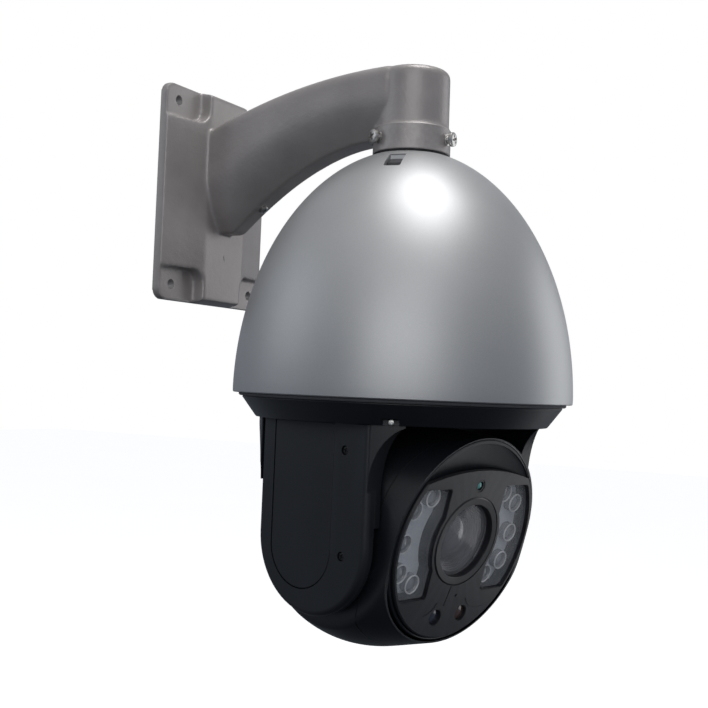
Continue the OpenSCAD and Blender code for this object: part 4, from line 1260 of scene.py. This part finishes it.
# name, place from the middle, size, power and tint of each softbox
SOFTBOXES = (
    ("key", (-0.06, -0.235, 1.17), (0.62, 0.62), 7, (1, 1, 1)),
    ("front", (-1.44, -0.7, 0.45), (1.3, 1.0), 5.2, (1, 1, 1)),
    ("right", (1.43, -0.93, -0.05), (1.1, 1.7), 6.6, (1, 1, 1)),
    ("left", (-0.9, 1.3, 0.55), (1.0, 0.8), 1.8, (0.9, 0.95, 1)),
)
# place and colour of each stop of the room's light, from below to above
ROOM_STOPS = ((0.0, (0.02, 0.022, 0.026, 1)), (0.5, (0.19, 0.213, 0.25, 1)), (1.0, (0.55, 0.55, 0.56, 1)))


def look_frame(yaw, pitch, roll):
    """The camera's turn from its yaw, pitch and roll, in degrees."""
    yaw, pitch, roll = (math.radians(a) for a in (yaw, pitch, roll))
    forward = Vector((-math.sin(yaw) * math.cos(pitch), math.cos(yaw) * math.cos(pitch), math.sin(pitch)))
    right = forward.cross(Vector((0, 0, 1))).normalized()
    up = right.cross(forward)
    across = math.cos(roll) * right + math.sin(roll) * up
    over = math.cos(roll) * up - math.sin(roll) * right
    return Matrix((across, over, -forward)).transposed().to_4x4()


def softbox(name, place, aim, size, power, tint):
    """A rectangular area light at a place, aimed at a point, all in metres."""
    deselect_all()
    bpy.ops.object.light_add(type="AREA", location=place)
    lamp = bpy.context.object
    lamp.name = name
    lamp.rotation_euler = (Vector(aim) - Vector(place)).to_track_quat("-Z", "Y").to_euler()
    lamp.data.shape = "RECTANGLE"
    lamp.data.size, lamp.data.size_y = size
    lamp.data.energy = power
    lamp.data.color = tint


def build_stage():
    """The camera, the pale floor and the soft lights."""
    deselect_all()
    bpy.ops.object.camera_add()
    camera = bpy.context.object
    camera.name = "view"
    bearing = math.radians(VIEW_BEARING)
    place = Vector((math.sin(bearing) * VIEW_DISTANCE, AXIS_Y / MM - math.cos(bearing) * VIEW_DISTANCE,
                    RIM_Z / MM + VIEW_RISE))
    camera.matrix_world = Matrix.Translation(place) @ look_frame(*VIEW_TURN)
    camera.data.sensor_width = 36
    camera.data.lens = VIEW_LENS
    camera.data.clip_start = 0.01
    bpy.context.scene.camera = camera

    deselect_all()
    bpy.ops.mesh.primitive_plane_add(size=14, location=(0, 0, CAD_BOX[0].z - FLOOR_DROP))
    ground = bpy.context.object
    ground.name = "floor"
    ground.visible_glossy = ground.visible_diffuse = False
    paint = Paint("floor_white", Roughness=0.9, Emission_Color=(1, 1, 1), Emission_Strength=0.6)
    paint.set("Base Color", paint.mix(paint.noise(3, 2), (0.86, 0.86, 0.86), (0.9, 0.9, 0.9)))
    ground.data.materials.append(paint.material)
    bpy.context.scene.view_settings.view_transform = "Standard"
    bpy.context.scene.world = studio_world()

    middle = Vector((0, AXIS_Y / MM, -0.1))
    for name, offset, size, power, tint in SOFTBOXES:
        softbox(name, middle + Vector(offset), middle, size, power, tint)


def studio_world():
    """A white backdrop, and a dimmer room that is darker below for the light on the object."""
    world = bpy.data.worlds.new("studio")
    world.use_nodes = True
    tree = world.node_tree
    room, place = tree.nodes["Background"], tree.nodes.new("ShaderNodeTexCoord")
    split, ramp = tree.nodes.new("ShaderNodeSeparateXYZ"), tree.nodes.new("ShaderNodeValToRGB")
    ramp.color_ramp.elements.new(ROOM_STOPS[1][0])
    for stop, (position, tint) in zip(ramp.color_ramp.elements, ROOM_STOPS):
        stop.position, stop.color = position, tint
    shift = tree.nodes.new("ShaderNodeMapRange")
    shift.inputs["From Min"].default_value = -1
    backdrop, share = tree.nodes.new("ShaderNodeBackground"), tree.nodes.new("ShaderNodeMixShader")
    rays = tree.nodes.new("ShaderNodeLightPath")
    for start, end in ((place.outputs["Generated"], split.inputs[0]),
                       (split.outputs["Z"], shift.inputs["Value"]),
                       (shift.outputs[0], ramp.inputs[0]), (ramp.outputs[0], room.inputs["Color"]),
                       (rays.outputs["Is Camera Ray"], share.inputs[0]), (room.outputs[0], share.inputs[1]),
                       (backdrop.outputs[0], share.inputs[2])):
        tree.links.new(start, end)
    backdrop.inputs["Color"].default_value = (1, 1, 1, 1)
    tree.links.new(share.outputs[0], tree.nodes["World Output"].inputs["Surface"])
    return world


# ---------- operators ----------
def build_paints():
    """Fills the paint box and paints every CAD node in its record's finish."""
    PAINTS.update(make_paints())
    for part in frame["record"]["subparts"]:
        node = frame["nodes"][part["node"]]
        node.data.materials.clear()
        node.data.materials.append(PAINTS[part["material_slot"]])


class OBJECT_OT_camera_paints(bpy.types.Operator):
    """Makes the materials and paints the CAD nodes"""
    bl_idname = "object.camera_paints"
    bl_label = "Paints"
    bl_options = {"REGISTER", "UNDO"}

    def execute(self, context):
        build_paints()
        return {"FINISHED"}


class OBJECT_OT_camera_bracket(bpy.types.Operator):
    """Models the wall bracket with its cover strip"""
    bl_idname = "object.camera_bracket"
    bl_label = "Wall bracket"
    bl_options = {"REGISTER", "UNDO"}

    def execute(self, context):
        build_bracket()
        build_arm_cover()
        return {"FINISHED"}


class OBJECT_OT_camera_screws(bpy.types.Operator):
    """Models the bracket's screws"""
    bl_idname = "object.camera_screws"
    bl_label = "Bracket screws"
    bl_options = {"REGISTER", "UNDO"}

    def execute(self, context):
        build_clamp_screws()
        build_cover_screws()
        return {"FINISHED"}


class OBJECT_OT_camera_shell(bpy.types.Operator):
    """Models the sunshield, its plug, the base ring and the seal"""
    bl_idname = "object.camera_shell"
    bl_label = "Shell and base ring"
    bl_options = {"REGISTER", "UNDO"}

    def execute(self, context):
        build_shell()
        build_shell_plug()
        build_base_ring()
        return {"FINISHED"}


class OBJECT_OT_camera_yoke(bpy.types.Operator):
    """Models the turning disc and both arms"""
    bl_idname = "object.camera_yoke"
    bl_label = "Yoke"
    bl_options = {"REGISTER", "UNDO"}

    def execute(self, context):
        build_turning_disc()
        build_arms()
        return {"FINISHED"}


class OBJECT_OT_camera_head(bpy.types.Operator):
    """Models the ball head with its rim, brow and face panel"""
    bl_idname = "object.camera_head"
    bl_label = "Head"
    bl_options = {"REGISTER", "UNDO"}

    def execute(self, context):
        build_head_shell()
        build_bezel()
        build_face_panel()
        build_chin_ridges()
        return {"FINISHED"}


class OBJECT_OT_camera_optics(bpy.types.Operator):
    """Models the lens, the lamps, the sensor and the lower eyes"""
    bl_idname = "object.camera_optics"
    bl_label = "Optics"
    bl_options = {"REGISTER", "UNDO"}

    def execute(self, context):
        build_lens()
        build_inner_lens()
        build_led_windows()
        build_led_lenses()
        build_small_optics()
        return {"FINISHED"}


class OBJECT_OT_camera_stage(bpy.types.Operator):
    """Sets up the camera, the floor and the lights"""
    bl_idname = "object.camera_stage"
    bl_label = "Stage"
    bl_options = {"REGISTER", "UNDO"}

    def execute(self, context):
        build_stage()
        return {"FINISHED"}


OPERATORS = (
    OBJECT_OT_camera_paints, OBJECT_OT_camera_bracket, OBJECT_OT_camera_screws, OBJECT_OT_camera_shell,
    OBJECT_OT_camera_yoke, OBJECT_OT_camera_head, OBJECT_OT_camera_optics, OBJECT_OT_camera_stage,
)


class VIEW3D_PT_camera(bpy.types.Panel):
    """Lists the settings and the pieces"""
    bl_idname = "VIEW3D_PT_camera"
    bl_label = "Pan and tilt camera"
    bl_space_type = "VIEW_3D"
    bl_region_type = "UI"
    bl_category = "Camera"

    def draw(self, context):
        for group in (getattr(context.scene, name) for name in GROUPS):
            box = self.layout.box()
            for name in group.bl_rna.properties.keys():
                if name not in ("rna_type", "name"):
                    box.prop(group, name)
        for operator in OPERATORS:
            self.layout.operator(operator.bl_idname)


CLASSES = (CasingSettings, HeadSettings, FinishSettings, *OPERATORS, VIEW3D_PT_camera)
GROUPS = {"casing_settings": CasingSettings, "head_settings": HeadSettings, "finish_settings": FinishSettings}


def register():
    for item in CLASSES:
        bpy.utils.register_class(item)
    for name, group in GROUPS.items():
        setattr(bpy.types.Scene, name, bpy.props.PointerProperty(type=group))


def unregister():
    for name in GROUPS:
        delattr(bpy.types.Scene, name)
    for item in reversed(CLASSES):
        bpy.utils.unregister_class(item)


def main():
    register()
    for piece in ("paints", "bracket", "screws", "shell", "yoke", "head", "optics", "stage"):
        getattr(bpy.ops.object, f"camera_{piece}")()


if __name__ == "__main__":
    main()
